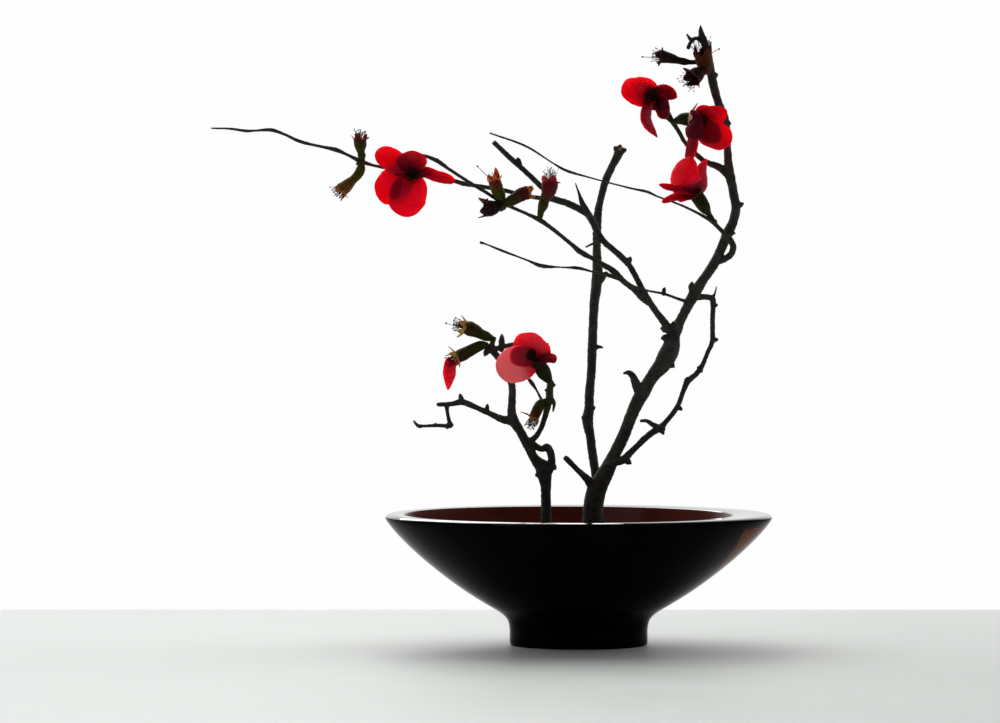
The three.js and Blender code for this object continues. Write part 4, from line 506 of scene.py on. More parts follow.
def spaced(rows, shares):
    """Rows at shares of the length of a curve that is given by close rows."""
    lengths = np.concatenate([[0], np.cumsum(np.linalg.norm(np.diff(rows[:, :3], axis=0), axis=1))])
    return np.array([np.interp(np.array(shares) * lengths[-1], lengths, column) for column in rows.T]).T


def frames_along(centres):
    """Tangents, and normals turned as little as possible from one to the next."""
    tangents = np.gradient(centres, axis=0)
    tangents /= np.linalg.norm(tangents, axis=1)[:, None]
    normal = np.array([0, 1, 0] if abs(tangents[0][1]) < 0.8 else [1, 0, 0], float)
    normals = []
    for tangent in tangents:
        normal = unit(normal - normal.dot(tangent) * tangent)
        normals.append(normal)
    return tangents, np.array(normals)


def bumpy(point, size, seed=0):
    """Noise between about -1 and 1 with features of a size, in millimetres."""
    return noise.noise(Vector(point) / size + Vector((seed, 2.7 * seed, -seed)))


# ---------------------------------------------------------------- meshes


class Shape:
    """Points and faces of a piece, and three numbers kept at each point for its material."""

    def __init__(self):
        self.points = np.zeros((0, 3))
        self.marks = np.zeros((0, 3))
        self.faces = []
        self.kinds = []

    def add(self, points, faces, marks=(0, 0, 0), kind=0):
        start = len(self.points)
        self.points = np.vstack([self.points, points])
        self.marks = np.vstack([self.marks, np.broadcast_to(marks, np.shape(points))])
        self.faces += [[start + i for i in face] for face in faces]
        self.kinds += [kind] * len(faces)

    def mesh(self, name):
        mesh = bpy.data.meshes.new(name)
        mesh.from_pydata((self.points * MM).tolist(), [], self.faces)
        mesh.attributes.new("place", "FLOAT_VECTOR", "POINT").data.foreach_set("vector", self.marks.ravel())
        mesh.polygons.foreach_set("material_index", self.kinds)
        mesh.polygons.foreach_set("use_smooth", [True] * len(mesh.polygons))
        mesh.update()
        return mesh


def grid_faces(rows, columns, closed):
    """Faces of a net of points, row by row, whose rows may close on themselves."""
    faces = []
    for i in range(rows - 1):
        for j in range(columns if closed else columns - 1):
            a, b = i * columns + j, i * columns + (j + 1) % columns
            faces.append([a, b, b + columns, a + columns])
    return faces


def lofted(rings):
    """Points and faces of a closed body through rings, each end closed by a fan."""
    count = len(rings[0])
    points = np.vstack(rings + [rings[0].mean(0), rings[-1].mean(0)])
    faces = grid_faces(len(rings), count, True)
    first, last = len(points) - 2, len(points) - 1
    top = (len(rings) - 1) * count
    for k in range(count):
        after = (k + 1) % count
        faces.append([first, after, k])
        faces.append([last, top + k, top + after])
    return points, faces


def ring(centre, tangent, normal, radius, sides):
    across = np.cross(tangent, normal)
    angles = np.linspace(0, 2 * math.pi, sides, endpoint=False)[:, None]
    return centre + radius * (np.cos(angles) * normal + np.sin(angles) * across)


def level_ring(x, y, radius, height, sides):
    """A level ring of points round an upright line."""
    angles = np.linspace(0, 2 * math.pi, sides, endpoint=False)
    return np.array([[x + radius * math.cos(a), y + radius * math.sin(a), height] for a in angles])


def tube(rows, sides, round_start=False, round_end=False):
    """A round limb through [x, y, z, radius] rows."""
    tangents, normals = frames_along(rows[:, :3])
    rings = [ring(row[:3], t, n, row[3], sides) for row, t, n in zip(rows, tangents, normals)]
    for at, wanted in ((0, round_start), (-1, round_end)):
        if not wanted:
            continue
        way = tangents[at] * (-1 if at == 0 else 1)
        for share in (0.5, 0.85):
            rise, reach = rows[at][3] * share, rows[at][3] * math.sqrt(1 - share * share)
            extra = ring(rows[at][:3] + way * rise, tangents[at], normals[at], reach, sides)
            rings.insert(0 if at == 0 else len(rings), extra)
    return lofted(rings)


def piece(name, mesh, nodes, slot, *materials):
    """An object made of a mesh, which stands for CAD nodes."""
    made = bpy.data.objects.new(name, mesh)
    bpy.context.scene.collection.objects.link(made)
    for material in materials:
        mesh.materials.append(material)
    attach(made, "root")
    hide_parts(*nodes)
    return made


# ---------------------------------------------------------------- materials


class Look:
    """A material's nodes, with short ways to add to them."""

    def __init__(self, name, **settings):
        self.material = bpy.data.materials.new(name)
        self.material.use_nodes = True
        self.tree = self.material.node_tree
        self.shader = self.tree.nodes["Principled BSDF"]
        self.place = self.node("Attribute", attribute_name="place").outputs["Vector"]
        self.spot = self.node("TexCoord").outputs["Object"]
        self.set(**settings)

    def put(self, socket, value):
        if isinstance(value, bpy.types.NodeSocket):
            self.tree.links.new(value, socket)
        else:
            socket.default_value = value

    def set(self, **settings):
        for name, value in settings.items():
            self.put(self.shader.inputs[name.replace("_", " ")], value)

    def node(self, kind, inputs=None, **settings):
        made = self.tree.nodes.new("ShaderNode" + kind)
        for name, value in settings.items():
            setattr(made, name, value)
        for name, value in (inputs or {}).items():
            self.put(made.inputs[name], value)
        return made

    def noise(self, size, where=None, detail=3.0, rough=0.55, stretch=None):
        """Noise with features of a size: metres in space, or the unit of another place."""
        where = self.spot if where is None else where
        if stretch is not None:
            where = self.node("VectorMath", {0: where, 1: stretch}, operation="MULTIPLY").outputs["Vector"]
        inputs = {"Vector": where, "Scale": 1 / size, "Detail": detail, "Roughness": rough}
        return self.node("TexNoise", inputs).outputs["Fac"]

    def cells(self, size):
        """Distance to the nearest of scattered points."""
        return self.node("TexVoronoi", {"Vector": self.spot, "Scale": 1 / size}).outputs["Distance"]

    def math(self, operation, *values):
        return self.node("Math", dict(enumerate(values)), operation=operation).outputs[0]

    def part(self, vector, axis):
        return self.node("SeparateXYZ", {0: vector}).outputs[axis]

    def ramp(self, value, stops):
        made = self.node("ValToRGB", {"Fac": value})
        marks = made.color_ramp.elements
        while len(marks) < len(stops):
            marks.new(0.5)
        for mark, (at, color) in zip(marks, stops):
            mark.position = at
            mark.color = (*color, 1) if isinstance(color, tuple) else (color, color, color, 1)
        return made.outputs["Color"]

    def mix(self, share, a, b):
        """Two colours blended, with a share of the second."""
        made = self.node("Mix", data_type="RGBA")
        for index, value in ((0, share), (6, a), (7, b)):
            self.put(made.inputs[index], (*value, 1) if isinstance(value, tuple) else value)
        return made.outputs[2]

    def bump(self, height, depth, under=None):
        """Relief of a depth in millimetres, over another relief."""
        inputs = {"Height": height, "Distance": depth * MM, "Strength": 1.0}
        if under is not None:
            inputs["Normal"] = under
        return self.node("Bump", inputs).outputs["Normal"]


BLACK_LACQUER = [(0.3, (0.0012, 0.0014, 0.0012)), (0.75, (0.003, 0.003, 0.0026))]


def lacquer_outside():
    """Polished black lacquer, with a brown crescent of painted reflection on its right flank."""
    look = Look("lacquer_black_painted_reflection", IOR=1.05)
    black = look.ramp(look.noise(0.03), BLACK_LACQUER)
    # Painted reflection: a streaky brown crescent on the right flank, placed by the first mark, where the
    # glossy flank mirrors something warm brown.
    reflection_reach = look.math("ADD", look.part(look.place, 0), look.math("MULTIPLY", look.noise(0.004), 1.2))
    shown = look.ramp(look.math("MULTIPLY", reflection_reach, 0.2), [(0.1, 0.0), (0.4, 1.0)])
    reflection_streaks = look.noise(0.012, stretch=(0.3, 0.3, 2))
    brown = look.ramp(reflection_streaks, [(0.3, (0.07, 0.014, 0.003)), (0.7, (0.17, 0.036, 0.006))])
    look.set(Base_Color=look.mix(shown, black, brown))
    look.set(Roughness=look.ramp(look.noise(0.02, detail=5), [(0.35, 0.04), (0.8, 0.11)]))
    look.set(Normal=look.bump(look.noise(0.006, detail=1), 0.012))
    return look.material


def lacquer_rim():
    """The same lacquer on the flat rim, under a clear coat that mirrors the bright wall."""
    look = Look("lacquer_rim", IOR=1.6, Coat_Weight=1.0, Coat_IOR=1.6, Coat_Roughness=0.04)
    look.set(Base_Color=look.ramp(look.noise(0.03), BLACK_LACQUER))
    look.set(Roughness=look.ramp(look.noise(0.02, detail=5), [(0.35, 0.03), (0.8, 0.08)]))
    return look.material


def lacquer_inside():
    """Dark red-brown lacquer."""
    look = Look("lacquer_red", IOR=1.25)
    cloud = look.noise(0.04, detail=4)
    look.set(Base_Color=look.ramp(cloud, [(0.3, (0.085, 0.016, 0.011)), (0.7, (0.14, 0.027, 0.018))]))
    look.set(Roughness=look.ramp(look.noise(0.015, detail=5), [(0.35, 0.14), (0.8, 0.26)]))
    look.set(Normal=look.bump(look.noise(0.005, detail=1), 0.015))
    return look.material


def bark():
    """Dark bark with fine ridges and pale pores, green on young wood and pale where it is cut."""
    look = Look("bark", IOR=1.4)
    cloud = look.noise(0.007, detail=5)
    brown = look.ramp(cloud, [(0.3, (0.022, 0.0225, 0.019)), (0.55, (0.042, 0.0425, 0.035)),
                              (0.8, (0.07, 0.069, 0.056))])
    pores = look.ramp(look.cells(0.0032), [(0.1, 1.0), (0.2, 0.0)])
    brown = look.mix(look.math("MULTIPLY", pores, 0.45), brown, (0.14, 0.12, 0.09))
    green = look.ramp(look.noise(0.003), [(0.3, (0.03, 0.042, 0.01)), (0.7, (0.075, 0.08, 0.02))])
    young = look.mix(look.part(look.place, 1), brown, green)
    rings = look.ramp(look.noise(0.0006), [(0.3, (0.24, 0.17, 0.1)), (0.7, (0.42, 0.32, 0.2))])
    look.set(Base_Color=look.mix(look.part(look.place, 0), young, rings), Roughness=0.72)
    look.set(Specular_IOR_Level=0.25)
    ridges = look.noise(0.0022, detail=6, rough=0.65)
    look.set(Normal=look.bump(ridges, 0.22, under=look.bump(pores, 0.12)))
    return look.material


def petal_look(name, light, pale, deep, vein, dark, radius):
    """A thin petal: veins run out from its claw, and light comes through it."""
    look = Look(name, Roughness=0.5, IOR=1.35, Specular_IOR_Level=0.3, Subsurface_Weight=1.0,
                Subsurface_Scale=MM, Subsurface_Radius=radius)
    fan = look.noise(1.0, where=look.place, detail=2, stretch=(1.6, 0.06, 0))
    fine = look.noise(1.0, where=look.place, detail=3, stretch=(4, 0.2, 0))
    cloud = look.noise(0.009)
    tint = look.ramp(cloud, [(0.3, deep), (0.7, pale)])
    veins = look.ramp(fan, [(0.42, 0.0), (0.5, 1.0), (0.58, 0.0)])
    tint = look.mix(look.math("MULTIPLY", veins, 0.4), tint, vein)
    tint = look.mix(look.ramp(fine, [(0.35, 0.25), (0.6, 0.0)]), tint, vein)
    # The third mark is painted shade that darkens towards the dark colour; below zero it lightens towards
    # the light colour.
    shade = look.part(look.place, 2)
    tint = look.mix(look.math("MULTIPLY", shade, -1.0), tint, light)
    look.set(Base_Color=look.mix(shade, tint, dark))
    look.set(Normal=look.bump(look.math("ADD", fine, look.math("MULTIPLY", veins, 0.6)), 0.1))
    return look.material


def calyx_look(name, base, middle, tip):
    """A fleshy calyx whose colour turns from its base to the ends of its sepals."""
    look = Look(name, Roughness=0.6, IOR=1.4, Specular_IOR_Level=0.15, Subsurface_Weight=0.6,
                Subsurface_Scale=MM, Subsurface_Radius=(0.9, 0.35, 0.15))
    along = look.part(look.place, 1)
    sway = look.math("MULTIPLY", look.math("SUBTRACT", look.noise(0.003), 0.5), 0.3)
    uneven = look.math("ADD", along, sway)
    tint = look.ramp(uneven, [(0.28, base), (0.5, middle), (0.62, middle), (0.74, tip)])
    lines = look.noise(1.0, where=look.place, stretch=(30, 2, 1))
    tint = look.mix(look.ramp(lines, [(0.4, 0.35), (0.6, 0.0)]), tint, tuple(0.4 * part for part in middle))
    look.set(Base_Color=tint)
    look.set(Normal=look.bump(lines, 0.15, under=look.bump(look.noise(0.0008), 0.06)))
    return look.material


def stamen_look():
    """Dry dark threads with darker anthers."""
    look = Look("stamen_dark", Roughness=0.8, Specular_IOR_Level=0.1)
    thread = look.ramp(look.noise(0.001), [(0.3, (0.03, 0.006, 0.006)), (0.7, (0.07, 0.016, 0.012))])
    pollen = look.ramp(look.noise(0.0004), [(0.3, (0.01, 0.005, 0.004)), (0.7, (0.035, 0.018, 0.01))])
    look.set(Base_Color=look.mix(look.part(look.place, 0), thread, pollen))
    look.set(Normal=look.bump(look.noise(0.0003), 0.08))
    return look.material


def lead():
    """The pin holder's dull plate."""
    look = Look("holder_lead", Metallic=0.85)
    cloud = look.noise(0.005, detail=5)
    look.set(Base_Color=look.ramp(cloud, [(0.3, (0.05, 0.052, 0.05)), (0.7, (0.14, 0.14, 0.13))]))
    look.set(Roughness=look.ramp(look.noise(0.003), [(0.3, 0.4), (0.7, 0.65)]))
    look.set(Normal=look.bump(look.noise(0.001, detail=5), 0.08))
    return look.material


def brass():
    """The pin holder's needles."""
    look = Look("holder_brass", Metallic=1.0)
    cloud = look.noise(0.002, detail=3)
    look.set(Base_Color=look.ramp(cloud, [(0.3, (0.3, 0.19, 0.06)), (0.7, (0.6, 0.43, 0.17))]))
    look.set(Roughness=look.ramp(look.noise(0.001), [(0.3, 0.22), (0.7, 0.4)]))
    return look.material


def water_look():
    """Clear water, hardly ruffled."""
    look = Look("water", Roughness=0.0, IOR=1.333, Transmission_Weight=1.0)
    look.set(Base_Color=(0.93, 0.97, 0.95, 1))
    look.set(Normal=look.bump(look.noise(0.05, detail=1), 0.05))
    return look.material


# ---------------------------------------------------------------- bowl, pin holder and water

OUTSIDE = [  # [radius, height] up the bowl's outer side
    [52.3, 0], [53.3, 1.2], [53.6, 11.8], [54.2, 16.4], [55.2, 19.5], [57.6, 22.6], [61.4, 25.7],
    [71.8, 31.9], [89, 42.8], [107.9, 56.7], [124.7, 70.7], [139, 84.6], [147, 93.9],
    [149.5, 97.6], [149.9, 98.8],
]
INSIDE = [[127.7, 102], [124.5, 88], [113, 74], [94.5, 58.3], [72, 42], [60, 38]]


def wall_radius(height):
    """The radius of the bowl's inside at a height."""
    radii, heights = zip(*INSIDE)
    return float(np.interp(height, heights[::-1], radii[::-1]))


def make_bowl():
    """Turned bowl with a flat ledge that falls a little inwards. It is wider on the right."""
    columns = 360
    inner = [[OPENING_RADIUS + 0.9, BOWL_HEIGHT, 0], [OPENING_RADIUS + 0.35, BOWL_HEIGHT - 0.15, 0],
             [OPENING_RADIUS, BOWL_HEIGHT - 0.7, 0]]
    outer = smooth([[r, z, 0] for r, z in OUTSIDE], 1.5)
    lip = [[BOWL_RADIUS, 99.3, 0], [149.85, 99.9, 0], [149.3, 100.6, 0], [148.3, 101.3, 0],
           [146.9, 101.8, 0], [145, BOWL_HEIGHT, 0]]
    wall = smooth([[r, z, 0] for r, z in INSIDE], 3)[1:]
    floor = [[54, 37.9, 0], [40, 37.9, 0], [20, 37.9, 0], [5, 37.9, 0]]
    rows = [(0, r, z) for r, z, _ in [*outer, *lip]]
    rim = len(rows)
    rows += [(OPENING_SHIFT, r, z) for r, z, _ in [*inner, *wall, *floor]]
    rings = [level_ring(x, 0, r, z, columns) for x, r, z in rows]
    for ledge in rings[rim:rim + 3]:
        ledge[:, 2] -= 0.03 * (145 - np.hypot(ledge[:, 0], ledge[:, 1]))
    points, faces = lofted(rings)
    # The first mark holds how far each point lies inside the crescent of painted reflection.
    reflection_reach = [reflection_crescent_reach(point) if index < rim * columns else -20 for index, point in enumerate(points)]
    edge = len(outer) + 1
    shape = Shape()
    shape.add(points, faces, np.array([[value, 0, 0] for value in reflection_reach]))
    # Kind 0 is the outside, 1 the rim and 2 the inside. The last faces close the foot and the floor.
    sides = [min(face) for face in faces[:-2 * columns]]
    shape.kinds = [(low >= edge * columns) + (low >= (rim + 2) * columns) for low in sides]
    shape.kinds += [0, 2] * columns
    return piece("bowl_lacquer", shape.mesh("bowl_lacquer"), ["bowl"], "lacquer", lacquer_outside(),
                 lacquer_rim(), lacquer_inside())


def reflection_crescent_reach(point):
    """How far a point lies inside the crescent of painted reflection on the right flank, in millimetres."""
    x, y, z = point
    low, high, span = 55, 94.5, 41.5
    right, narrow, widening = 12, 13, 19     # degrees from +X towards the front
    if z < low or z > high + 2:
        return -5
    left = narrow + widening * math.sqrt((z - low) / span)
    angle = -math.atan2(y, x)
    inside = min(math.radians(left) - angle, angle - math.radians(right))
    return min(inside * math.hypot(x, y), high - z, 5)


def make_pin_holder():
    """A lead plate set with pointed brass needles, but for where the stems stand."""
    shape = Shape()
    base = BOWL_FLOOR + GAP
    rows = [[0.4, base], [34.6, base], [35.7, base + 0.4], [36, base + 1.2], [36, PLATE_TOP - 1.4],
            [35.6, PLATE_TOP - 0.4], [34.8, PLATE_TOP], [0.4, PLATE_TOP]]
    shape.add(*lofted([level_ring(HOLDER_X, HOLDER_Y, r, z, 120) for r, z in rows]))
    feet = [seen(branch["limbs"][0][0]).tolist() + [branch["limbs"][0][0][3]]
            for branch in (TALL_BRANCH, UPRIGHT_BRANCH, LOW_BRANCH)]
    pitch = NEEDLE_PITCH * math.sqrt(3) / 2
    count = int(HOLDER_RADIUS / pitch)
    shoulder = PLATE_TOP + 0.8 * NEEDLE_LENGTH
    for row in range(-count, count + 1):
        for column in range(-count, count + 1):
            x = HOLDER_X + (column + (row % 2) / 2) * NEEDLE_PITCH
            y = HOLDER_Y + row * pitch
            held = any(math.hypot(x - fx, y - fy) < radius + 0.6 for fx, fy, _, radius in feet)
            if math.hypot(x - HOLDER_X, y - HOLDER_Y) < HOLDER_RADIUS - 3 and not held:
                lean = [0.25 * (draw(row, column) - 0.5), 0.25 * (draw(column, row) - 0.5)]
                spine = np.array([
                    [x, y, PLATE_TOP - 0.5, NEEDLE_RADIUS],
                    [x + 0.6 * lean[0], y + 0.6 * lean[1], shoulder, NEEDLE_RADIUS * 0.9],
                    [x + lean[0], y + lean[1], PLATE_TOP + NEEDLE_LENGTH, NEEDLE_TIP],
                ])
                shape.add(*tube(spine, 8), kind=1)
    mesh = shape.mesh("pin_holder_kenzan")
    return piece("pin_holder_kenzan", mesh, ["pin_holder"], "holder_metal", lead(), brass())


def make_water():
    """Water that climbs a little up the wall and the stems."""
    columns = 180
    side = 0.08
    stems = [smooth([[*seen(p), p[3]] for p in branch["limbs"][0][:4]], 2)
             for branch in (TALL_BRANCH, UPRIGHT_BRANCH, LOW_BRANCH)]
    stems = [rows[np.argmin(abs(rows[:, 2] - WATER_LEVEL))] for rows in stems]
    edge = wall_radius(WATER_LEVEL) - side
    shares = np.concatenate([np.linspace(0.01, 0.93, 70), 1 - np.geomspace(0.06, 0.001, 12), [1]])
    angles = np.linspace(0, 2 * math.pi, columns, endpoint=False)

    def surface(x, y):
        rise = 1.3 * math.exp(-(edge - math.hypot(x - OPENING_SHIFT, y)) / 1.4)
        for stem in stems:
            rise += 1.0 * math.exp(-max(0, math.hypot(x - stem[0], y - stem[1]) - stem[3]) / 1.2)
        return WATER_LEVEL + rise

    def around(radius, height=None):
        spots = [(OPENING_SHIFT + radius * math.cos(a), radius * math.sin(a)) for a in angles]
        return np.array([[x, y, surface(x, y) if height is None else height] for x, y in spots])

    top = [around(edge * share) for share in shares]
    wall = [around(wall_radius(z) - side, z) for z in (74, 66, 58.3, 50, 42, 39.4)]
    floor = [around(58, BOWL_FLOOR + side), around(2, BOWL_FLOOR + side)]
    points, faces = lofted(top + wall + floor)
    shape = Shape()
    shape.add(points, [face[::-1] for face in faces])
    return piece("water_body", shape.mesh("water_body"), ["water"], "water", water_look())


# ---------------------------------------------------------------- branches

VOXEL = 0.55


def bud_rows(x, z, depth, radius, reach_x, reach_z):
    """A plump bud, round at its end."""
    stops = [(-0.3, 1.05), (0.25, 1.15), (0.6, 1.15), (0.9, 0.85), (1.08, 0.45)]
    return [[*seen([x + reach_x * t, z + reach_z * t, depth - 0.6 * t]), radius * share]
            for t, share in stops]


def make_branch(name, branch, material):
    """Limbs and buds grown into one body, with knobbly bark."""
    shape = Shape()
    spine = []
    for index, points in enumerate(branch["limbs"]):
        rows = smooth([[*seen(p), p[3]] for p in points], 1.2)
        rows[:, 3] = np.maximum(rows[:, 3], 0.35) * 1.03 + 0.05
        flat_end = index in branch["cut"]
        shape.add(*tube(rows, 16, round_start=True, round_end=not flat_end))
        spine.append(rows)
    for bud in branch["buds"]:
        rows = smooth(bud_rows(*bud), 0.6)
        shape.add(*tube(rows, 12, True, True))
        spine.append(rows)
    base = shape.points[:, 2] < PLATE_TOP - 0.6
    shape.points[base, 2] = PLATE_TOP - 0.6
    raw = bpy.data.objects.new(name + "_raw", shape.mesh(name + "_raw"))
    bpy.context.scene.collection.objects.link(raw)
    remesh = raw.modifiers.new("grow_together", "REMESH")
    remesh.mode = "VOXEL"
    remesh.voxel_size = VOXEL * MM
    soften = raw.modifiers.new("soften", "SMOOTH")
    soften.factor = 0.5
    soften.iterations = 3
    mesh = bpy.data.meshes.new_from_object(raw.evaluated_get(bpy.context.evaluated_depsgraph_get()))
    bpy.data.objects.remove(raw)
    mesh.name = name
    roughen(mesh, np.vstack(spine), branch)
    return piece(name + "_bark", mesh, [name], "bark", material)


def roughen(mesh, spine, branch):
    """Bark ridges, as deep as the limb they are on allows, and marks for its green and cut places."""
    count = len(mesh.vertices)
    points = np.empty(count * 3)
    normals = np.empty(count * 3)
    mesh.vertices.foreach_get("co", points)
    mesh.vertices.foreach_get("normal", normals)
    points = points.reshape(-1, 3) / MM
    normals = normals.reshape(-1, 3)
    tree = kdtree.KDTree(len(spine))
    for index, row in enumerate(spine):
        tree.insert(Vector(row[:3]), index)
    tree.balance()
    cuts = []
    for index in branch["cut"]:
        end, before = (seen(branch["limbs"][index][k]) for k in (-1, -2))
        cuts.append((end, unit(end - before), branch["limbs"][index][-1][3]))
    greens = [(seen(spot), spot[3]) for spot in branch["green"]]
    lift = np.zeros(count)
    marks = np.zeros((count, 3))
    for i, point in enumerate(points):
        radius = spine[tree.find(Vector(point))[1]][3]
        depth = min(0.3, 0.1 * radius)
        ridges = bumpy(point, 2.6) + 0.5 * bumpy(point, 1.1, 5)
        lift[i] = depth * ridges + 0.6 * depth * bumpy(point, 7, 9)
        for end, way, reach in cuts:
            off = point - end
            if np.linalg.norm(off) < reach * 1.25 and off.dot(way) > -0.45:
                marks[i, 0] = 1
                lift[i] *= 0.3
        for spot, reach in greens:
            marks[i, 1] = max(marks[i, 1], min(1, max(0, 1.4 - np.linalg.norm(point - spot) / reach)))
    points += normals * lift[:, None]
    points[points[:, 2] < PLATE_TOP + GAP, 2] = PLATE_TOP + GAP
    mesh.vertices.foreach_set("co", (points * MM).ravel())
    mesh.attributes.new("place", "FLOAT_VECTOR", "POINT").data.foreach_set("vector", marks.ravel())
    mesh.polygons.foreach_set("use_smooth", [True] * len(mesh.polygons))
    mesh.update()


# ---------------------------------------------------------------- petals

PETAL_ROWS = 34
PETAL_COLUMNS = 24
PETAL_MIDDLE = 0.45
PETAL_EDGE = 0.14


def petal_share(u, claw, widest, blunt):
    """A petal's width at a share of its length, as a share of its greatest width."""
    if u < widest:
        return claw + (1 - claw) * (1 - (1 - u / widest) ** 2.2) ** 0.6
    past = (u - widest) / (1 - widest)
    power = 1.3 + 2.6 * blunt
    return max(0.04, (1 - past ** power)) ** (1 / power)


def add_petal(shape, spec, root, seed):
    """A thin petal: narrow at its claw, round at its tip, cupped and a little wavy."""
    claw, widest, blunt = spec.get("claw", 0.1), spec.get("widest", 0.55), spec.get("blunt", 0.3)
    cup, deep = spec.get("cup", 0.3), spec.get("deep", 0)
    shade_oval, base = spec.get("shade_oval"), spec.get("base", 0.5)
    curve = smooth([root, *map(seen, spec["path"])], 0.4)
    shares = np.sin(np.linspace(0, 1, PETAL_ROWS + 1) * math.pi / 2)
    middles = spaced(curve, shares)
    length = np.linalg.norm(np.diff(middles, axis=0), axis=1).sum()
    tangents = np.gradient(spaced(curve, np.linspace(0, 1, 60)), axis=0)
    inside = np.array(spec["face"], float)
    sides = [[], []]
    marks = []
    for i, u in enumerate(shares):
        tangent = unit(tangents[min(59, int(u * 59))])
        side = unit(np.cross(tangent, inside))
        normal = np.cross(side, tangent)
        half = spec["width"] / 2 * petal_share(u, claw, widest, blunt)
        for j in range(PETAL_COLUMNS + 1):
            v = 2 * j / PETAL_COLUMNS - 1
            ragged = 1 + 0.06 * bumpy((u * 5, math.copysign(3, v), seed), 1)
            ragged += 0.025 * bumpy((u * 16, v, seed), 1)
            flat = middles[i] + side * v * half * ragged
            edge = max(abs(v), u) ** 2
            wave = 0.9 * edge * bumpy(flat, 8, seed) + 0.3 * bumpy(flat, 3.5, seed) * (0.3 + edge)
            flat = flat + normal * (cup * half * v * v + wave)
            thick = PETAL_EDGE + (PETAL_MIDDLE - PETAL_EDGE) * (1 - abs(v) ** 3) * (1 - 0.7 * u ** 3)
            lean = unit(normal - side * 2 * cup * v)
            for face, way in zip(sides, (0.5, -0.5)):
                face.append(flat + lean * thick * way)
            # Painted shade: darker round the claw by base, inside the shade oval, and over the whole petal
            # by deep.
            dark = base * np.clip(1.25 - u / 0.4, 0, 1)
            if shade_oval is not None:
                off = math.hypot((u - shade_oval[0]) / shade_oval[2], (v - shade_oval[1]) / shade_oval[3])
                dark = max(dark, shade_oval[4] * np.clip((1 - off) / 0.12, 0, 1))
            marks.append([v * spec["width"] / 2 + 40 * seed, u * length, deep + (1 - deep) * dark])
    columns = PETAL_COLUMNS + 1
    rows = PETAL_ROWS + 1
    net = grid_faces(rows, columns, False)
    back = rows * columns
    border = [*range(columns), *range(2 * columns - 1, back, columns),
              *range(back - 2, back - columns - 1, -1), *range(back - 2 * columns, 0, -columns)]
    faces = net + [[back + i for i in reversed(face)] for face in net]
    for a, b in zip(border, border[1:] + border[:1]):
        faces.append([b, a, back + a, back + b])
    shape.add(np.vstack(sides), faces, np.array(marks * 2))


def add_hub(shape, centre, up, seed):
    """The low dome that the petals grow from."""
    rows = [[*(centre + up * HUB_HEIGHT * t), HUB_RADIUS * r] for t, r in
            ((-0.5, 0.5), (-0.4, 0.9), (0, 1), (0.3, 0.9), (0.5, 0.4))]
    points, faces = tube(np.array(rows), 24)
    # Its third mark of 1 paints the hub wholly in the petal material's painted shade colour.
    shape.add(points, faces, (40 * seed, 0, 1))


def make_petals(name, bloom, material, slot, seed):
    """The hub and the petals of an open bloom."""
    shape = Shape()
    up = unit(np.array(bloom["axis"], float))
    centre = seen(bloom["hub"])
    add_hub(shape, centre, up, seed)
    for index, spec in enumerate(bloom["petals"]):
        out = seen(spec["path"][0]) - centre
        out = unit(out - out.dot(up) * up) * HUB_RADIUS * 0.65
        add_petal(shape, spec, centre + out, seed + index)
    return piece(name + "_sheets", shape.mesh(name), [name], slot, material)


# ---------------------------------------------------------------- calyxes and stamens

CALYX_SIDES = 60


def mouth_of(spec):
    """Centre, axis and sideways direction of a calyx's mouth, and its close rows."""
    rows = smooth([[*seen(p), p[3]] for p in spec["calyx"]], 0.7)
    start, way = rows[0], unit(rows[1][:3] - rows[0][:3])
    rounding = ((1.9, 0.5), (1.3, 0.8), (0.6, 0.97))
    rooted = [[*(start[:3] - way * back), start[3] * share] for back, share in rounding]
    rows = np.vstack([rooted, rows])
    tangents, normals = frames_along(rows[:, :3])
    return rows, tangents, normals


def sepal_tips(centre, tangent, normal, rim, sepals):
    """The five sepal tips, turned so that the first one falls where it is given."""
    across = np.cross(tangent, normal)
    given = []
    for tip in sepals.get("tips", []):
        out = seen(tip) - centre
        given.append((seen(tip), math.atan2(out.dot(across), out.dot(normal))))
    turn = given[0][1] if given else 0.3
    ends = []
    for k in range(SEPALS):
        angle = turn + 2 * math.pi * k / SEPALS
        match = [end for end, at in given if math.cos(at - angle) > math.cos(math.pi / SEPALS)]
        out = normal * math.cos(angle) + across * math.sin(angle)
        reach = sepals["length"] * (0.85 + 0.3 * draw(round(sepals["length"] * 10), k))
        wide = rim + reach * math.sin(sepals["flare"])
        free = centre + out * wide + tangent * reach * math.cos(sepals["flare"])
        ends.append(match[0] if match else free)
    return turn, ends


